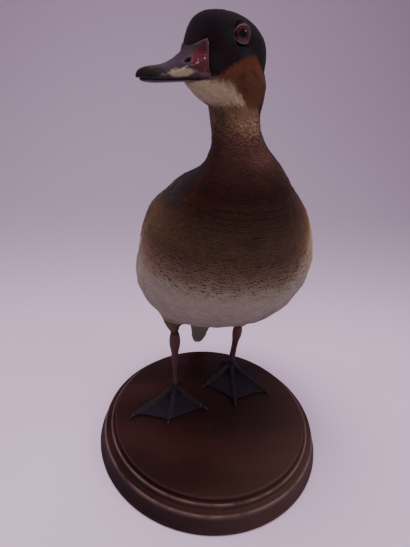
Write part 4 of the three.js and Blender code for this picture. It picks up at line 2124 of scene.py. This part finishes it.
        lower = solid_copy("bill_lower", 0.0003)
        remeshed(lower, self.grain, 4)
        ahead, aside, above = a.in_head(places(lower))
        colour = dyed(
            dye("2b1f28"), ("3e3236", step(ahead, 40, 56)), ("1a1013", step(above, -24.3, -23.6))
        )
        self._dress(lower, "lower_horn", material, colour, np.full(len(colour), 0.35))

    def _dress(
        self, piece: Piece, name: str, material: Material, colour: Array, gloss: Array,
    ) -> None:
        """Args:
            piece: The object.
            name: What its name has after the word bill; the node has the first word of it.
            material: The bill's finish.
            colour: Linear colours.
            gloss: How glossy each place is.
        """
        paint(piece, TINT, colour)
        paint(piece, MARKS, gloss[:, None])
        smooth_shaded(piece)
        install(piece, "bill_" + name, "bill", material, "bill_" + name.split("_")[0])


@dataclass
class Eye:
    """One glass eye in its ring of bare lid."""

    anatomy: Anatomy
    side: Side
    radius: float = 6.8
    depth: float = 10.6
    opening: tuple[float, float] = (5.9, 4.6)
    gaze: tuple[float, float, float] = (0.26, 1.0, 0.02)
    iris_turn: float = 14.0

    def _frame(self) -> tuple[Array, Array, Array]:
        """The eye's middle, the way it looks, and its upward direction.

        Returns:
            A place in metres and two unit vectors.
        """
        a = self.anatomy
        sign = self.side.sign
        middle = a.from_head(0.0, self.depth * sign, 0.2)
        f, l, h = self.gaze
        look = unit(a.ahead * f + a.aside * (l * sign) + a.above * h)
        up = unit(a.above - look * (a.above @ look))
        return middle, look, up

    def build(self, glass: Material, skin: Material) -> None:
        """Makes the eye and its lids.

        Args:
            glass: The eye's finish.
            skin: The lids' finish.
        """
        word = self.side.word
        middle, look, up = self._frame()
        clear_selection()
        bpy.ops.mesh.primitive_uv_sphere_add(segments=96, ring_count=64, radius=self.radius * MM)
        ball = bpy.context.object
        p = places(ball)
        r = np.linalg.norm(p, axis=1, keepdims=True)
        way = p / np.maximum(r, 1e-9)
        right = np.cross(up, look)
        angle = np.arccos(np.clip(way[:, 2], -1, 1))
        turn = np.arctan2(way[:, 1], way[:, 0])
        bulge = 0.2 * MM * step(angle, math.radians(38), math.radians(12))[:, None]
        local = way * (r + bulge)
        spin = math.radians(self.iris_turn) * -self.side.sign
        pole = look * math.cos(spin) + right * math.sin(spin)
        edge = right * math.cos(spin) - look * math.sin(spin)
        local = local @ np.stack([edge, up, pole])
        move_to(ball, middle + local)
        wide, tall = self.opening
        lid = np.hypot(local @ right / wide, local @ up / tall) / MM
        values = np.stack([angle / (math.pi / 2), turn / (2 * math.pi) + 0.5, lid / 2], 1)
        paint(ball, TINT, values)
        smooth_shaded(ball)
        install(ball, "eye_ball_" + word, "eye", glass, "eye_" + word)

        clear_selection()
        bpy.ops.mesh.primitive_torus_add(
            major_segments=128, minor_segments=16, major_radius=1.0, minor_radius=0.25
        )
        ring = bpy.context.object
        p = places(ring)
        phi = np.arctan2(p[:, 1], p[:, 0])
        out = np.hypot(p[:, 0], p[:, 1]) - 1.0
        psi = np.arctan2(p[:, 2], out)
        tail = np.exp(-(((np.mod(phi, 2 * np.pi) - self._corner()) / 0.30) ** 2))
        x = np.cos(phi) * wide * (1.0 + 0.24 * tail)
        y = np.sin(phi) * tall * (1.0 + 0.10 * tail)
        rho = np.minimum(np.hypot(x, y), self.radius - 0.3)
        level = np.sqrt(self.radius**2 - rho**2) + 0.05
        thick = 0.50 + 0.15 * np.clip(np.sin(phi), 0, 1) + 0.30 * tail
        crinkle = 1.0 + 0.10 * np.sin(phi * 37.0 + 0.6 * np.sin(psi * 2)) * np.sin(psi * 3)
        push = np.cos(psi) * thick * crinkle
        lift = np.sin(psi) * thick * 0.75 * crinkle
        norm = np.hypot(x / wide, y / tall)
        x, y = x + push * x / wide / norm, y + push * y / tall / norm
        z = level + lift - 0.25 * (push > 0) * push
        move_to(ring, middle + (np.stack([x, y, z], 1) * MM) @ np.stack([right, up, look]))
        turn_out(ring)
        smooth_shaded(ring)
        install(ring, "eye_lid_" + word, "eye", skin)

    def _corner(self) -> float:
        """Angle of the lids' rear lower corner on the ring."""
        return math.radians(222.0 if self.side is Side.RIGHT else 318.0)


# ---- legs


@dataclass
class Leg:
    """One leg: scaled tarsus, toes and web in one skin, and the claws."""

    side: Side
    grain: float = 0.00052
    swell: float = 0.0005
    scute: float = 2.1
    toe_reach: float = 22.0

    def _toe_ends(self, hub: Array, co: Array) -> list[Array]:
        """The tips of the three front toes and the hind toe.

        Args:
            hub: The foot's middle.
            co: The foot's vertices.

        Returns:
            Four places.
        """
        ends = []
        left = co[co[:, 2] < hub[2] + 0.004]
        for _ in range(3):
            far = np.linalg.norm((left - hub)[:, :2], axis=1)
            tip = left[far.argmax()]
            ends.append(tip)
            left = left[np.linalg.norm(left - tip, axis=1) > self.toe_reach * MM]
        rear = co[co[:, 1] > hub[1] + 0.003]
        ends.append(rear[rear[:, 1].argmax()])
        return ends

    def build(self, skin: Material, horn: Material) -> None:
        """Makes the leg's pieces.

        Args:
            skin: The leg's finish.
            horn: The claws' finish.
        """
        word = self.side.word
        low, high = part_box("leg_" + word)
        foot = places(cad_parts["foot_" + word])
        parts = [solid_copy(node + word, self.swell) for node in ("leg_", "foot_")]
        leg = join(parts, "leg_skin_" + word)
        shank = places(leg)
        top = shank[shank[:, 2] > high.z - 0.006].mean(0)
        hub = shank[(shank[:, 2] < low.z + 0.006) & (shank[:, 2] > low.z + 0.001)]
        span = np.array([(low.x + high.x) / 2, (low.y + high.y) / 2])
        hub = hub[np.linalg.norm(hub[:, :2] - span, axis=1) < 0.03].mean(0)
        remeshed(leg, self.grain, 3)
        ends = self._toe_ends(hub, foot)
        p = places(leg)
        n = normals(leg)
        axis = unit(hub - top)
        along = (p - top) @ axis / MM
        off = np.linalg.norm((p - top) / MM - axis * along[:, None], axis=1)
        near = step(off, 7, 5.5) * step(p[:, 2], low.z + 0.002, low.z + 0.006)
        front = step(n @ unit(np.array([0.0, -1.0, 0.0])), -0.1, 0.4)
        plate = np.abs(np.mod(along / self.scute, 1.0) - 0.5) * 2
        shift = 0.20 * (0.6 - plate**5) * near * front
        if self.side is Side.RIGHT:
            shift = shift + near * (0.5 * step(along, 20, 8) - 0.9 * step(along, 24, 44))
        toe_mask = np.zeros(len(p))
        for end in ends:
            way = end - hub
            reach = np.linalg.norm(way)
            way = way / reach
            u = (p - hub) @ way
            off = np.linalg.norm((p - hub) - way * np.clip(u, 0, reach)[:, None], axis=1) / MM
            on = step(off, 3.4, 2.4) * step(u, 0.004, 0.007) * (1 - near)
            plate = np.abs(np.mod(u / MM / 1.7, 1.0) - 0.5) * 2
            shift = shift + 0.15 * (0.6 - plate**5) * on * step(n[:, 2], 0.1, 0.5)
            knuckle = sum(hill(u / reach, at, 0.06) for at in (0.30, 0.58, 0.82))
            shift = shift + 0.35 * knuckle * on
            toe_mask = np.maximum(toe_mask, on)
        web = (1 - near) * (1 - toe_mask) * step(p[:, 2], low.z + 0.006, low.z + 0.003)
        shift = shift + web * 0.12 * waves(p, 0.0045, 51)
        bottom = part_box("foot_" + word)[0].z
        new = p + n * (shift * MM)[:, None]
        new[:, 2] = np.maximum(new[:, 2], bottom + 0.0001)
        move_to(leg, new)
        joint = near * step(along, 20, 4) * 0.6
        layers = ("2e232b", toe_mask), ("5b3639", near), ("6a4038", joint), ("281b2a", web * 0.8)
        paint(leg, TINT, dyed(dye("2e2029"), *layers))
        smooth_shaded(leg)
        install(leg, "leg_skin_" + word, "leg", skin, "leg_" + word, "foot_" + word)
        claws = [self._claw(hub, end, bottom) for end in ends]
        whole = join(claws, "claws_" + word)
        smooth_shaded(whole)
        install(whole, "claws_" + word, "leg", horn)

    def _claw(self, hub: Array, end: Array, bottom: float) -> Piece:
        """One curved claw on a toe's end.

        Args:
            hub: The foot's middle.
            end: The toe's tip.
            bottom: The level that the foot stands on.

        Returns:
            The claw.
        """
        clear_selection()
        bpy.ops.mesh.primitive_cone_add(
            vertices=14, radius1=1.25 * MM, radius2=0.12 * MM, depth=5.6 * MM, end_fill_type="NGON"
        )
        claw = bpy.context.object
        with editing(claw):
            bpy.ops.mesh.subdivide(number_cuts=5)
        p = places(claw)
        t = (p[:, 2] / MM + 2.8) / 5.6
        way = unit((end - hub) * np.array([1.0, 1.0, 0.0]))
        side = np.cross(way, [0.0, 0.0, 1.0])
        base = end - way * 1.6 * MM
        base[2] = bottom + 2.3 * MM
        spine = base + way * (t * 5.0 * MM)[:, None]
        spine[:, 2] += (0.5 * t - 2.1 * t * t) * MM
        place = spine + side * p[:, 0][:, None] * 0.8
        place[:, 2] += p[:, 1] * 1.1
        place[:, 2] = np.maximum(place[:, 2], bottom + 0.0001)
        move_to(claw, place)
        turn_out(claw)
        return claw


# ---- base and studio


@dataclass
class TurnedBase:
    """The turned base: foot, cove, plinth, bead and raised table top."""

    steps: int = 160
    ledge: float = 0.0148
    edge_angle: float = 28.0

    def profile(self) -> list[tuple[float, float]]:
        """The section's corners from the underside to the middle of the top.

        Returns:
            Radii and heights in metres.
        """
        _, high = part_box("base")
        r, h = high.x, high.z
        t = r - self.ledge
        # each run: a radius and a height, then the corners from there in millimetres
        runs = (
            (r, 0.0, (-2.0, 0), (-0.4, 0.5), (0, 1.6), (-0.3, 3.0), (-1.4, 5.2), (-2.8, 8.4),
             (-3.8, 11.8), (-4.4, 15.0), (-4.6, 16.6), (-5.0, 17.6), (-5.8, 18.2), (-6.8, 18.4)),
            (t, 0.0, (5.6, 18.4), (4.8, 18.7), (4.3, 19.6), (4.2, 21.2), (4.0, 22.2), (3.5, 23.0),
             (2.8, 23.4), (1.8, 23.4), (0.4, 22.9), (0, 22.9)),
            (t, h, (0, -1.2), (-0.3, -0.4), (-1.0, 0), (-2.0, 0)),
        )
        made = [(x + a * MM, z + b * MM) for x, z, *run in runs for a, b in run]
        return [(0.0, 0.0), *made, (0.0, h)]

    def build(self, material: Material) -> None:
        """Spins the section round the middle.

        Args:
            material: The wood.
        """
        piece = drawn("turned_base", [(r, 0.0, z) for r, z in self.profile()])
        with editing(piece):
            bpy.ops.mesh.spin(
                steps=self.steps, angle=2 * math.pi, center=(0, 0, 0), axis=(0, 0, 1),
                use_auto_merge=True,
            )
            bpy.ops.mesh.select_all(action="SELECT")
            bpy.ops.mesh.remove_doubles(threshold=1e-6)
            bpy.ops.mesh.normals_make_consistent(inside=False)
        bpy.ops.object.shade_smooth_by_angle(angle=math.radians(self.edge_angle))
        install(piece, "turned_base", "wood", material, "base")


@dataclass
class Studio:
    """Floor, soft lights and the camera."""

    place: tuple[float, float, float] = (-0.06465, -0.29998, 0.3476)
    yaw: float = 9.0
    pitch: float = 28.48
    roll: float = 5.05
    lens: float = 28.0
    air: str = "c4bac6"

    def build(self) -> None:
        """Makes the studio."""
        near, back, bend, tall, wide = -1.6, 0.26, 0.75, 2.2, 1.6
        quarter = np.radians(np.arange(0.0, 91.0, 5.0))
        rows = [(near, 0.0)]
        rows += [(back + bend * math.sin(q), bend * (1 - math.cos(q))) for q in quarter]
        rows += [(back + bend, tall)]
        floor = drawn("floor", [(-wide, y, z) for y, z in rows])
        with editing(floor):
            bpy.ops.mesh.extrude_region_move(
                TRANSFORM_OT_translate={"value": (2 * wide, 0.0, 0.0)}
            )
        turn_out(floor)
        smooth_shaded(floor)
        floor.data.materials.append(PaleFloor().make())
        # name, place, size, watts and whether glossy surfaces show it
        lights = (
            ("key", (-0.16, 0.06, 1.0), 0.60, 10.5, False),
            ("front", (-0.30, -0.85, 0.50), 0.7, 2.6, False),
            ("fill", (0.75, -0.45, 0.70), 0.8, 3.0, False),
            ("glint", (0.50, -0.17, 0.68), 0.07, 0.5, True),
        )
        for name, place, size, power, mirrored in lights:
            bpy.ops.object.light_add(type="AREA", location=place)
            light = bpy.context.object
            light.name = name
            light.data.size = size
            light.data.energy = power
            light.visible_glossy = mirrored
            way = Vector((0.0, 0.0, 0.18)) - Vector(place)
            light.rotation_euler = way.to_track_quat("-Z", "Y").to_euler()
        world = bpy.data.worlds.new("air")
        world.use_nodes = True
        sky = world.node_tree.nodes["Background"]
        sky.inputs["Color"].default_value = (*dye(self.air), 1.0)
        sky.inputs["Strength"].default_value = 0.42
        bpy.context.scene.world = world
        data = bpy.data.cameras.new("camera")
        data.lens = self.lens
        data.sensor_width = 36.0
        data.clip_start = 0.01
        camera = bpy.data.objects.new("camera", data)
        bpy.context.scene.collection.objects.link(camera)
        turn = (
            Matrix.Rotation(math.radians(-self.yaw), 4, "Z")
            @ Matrix.Rotation(math.radians(90.0 - self.pitch), 4, "X")
            @ Matrix.Rotation(math.radians(self.roll), 4, "Z")
        )
        camera.matrix_world = Matrix.Translation(self.place) @ turn
        bpy.context.scene.camera = camera


def main() -> None:
    """Builds the model in order."""
    logging.basicConfig(level=logging.INFO, format="%(name)s %(message)s")
    rng = np.random.default_rng(7)
    Studio().build()
    anatomy = Anatomy().read()
    LOG.info("middle line %.3f m", anatomy.length)
    markings = Markings(anatomy)
    soft, flight = Plumage().make(), FlightFeather().make()
    bill = Bill(anatomy)
    skin = Skin(anatomy).build(bill.plugs())
    wings = [WingChart(skin, side).read() for side in Side]
    small = SmallCoat(skin, markings)
    small.head_and_neck(soft, rng)
    BodyCoat(skin, markings, wings).build(soft, rng)
    small.thighs(soft, rng)
    for chart in wings:
        Wing(chart, markings).build(flight, soft, rng)
    Tail(skin).build(flight, rng)
    skin.dress(markings, soft)
    bill.build(BillHorn().make())
    for side in Side:
        Eye(anatomy, side).build(EyeGlass().make(), LID_SKIN.make())
        Leg(side).build(LegSkin().make(), CLAW_HORN.make())
    TurnedBase().build(TurnedWood().make())
    clear_selection()


if __name__ == "__main__":
    main()
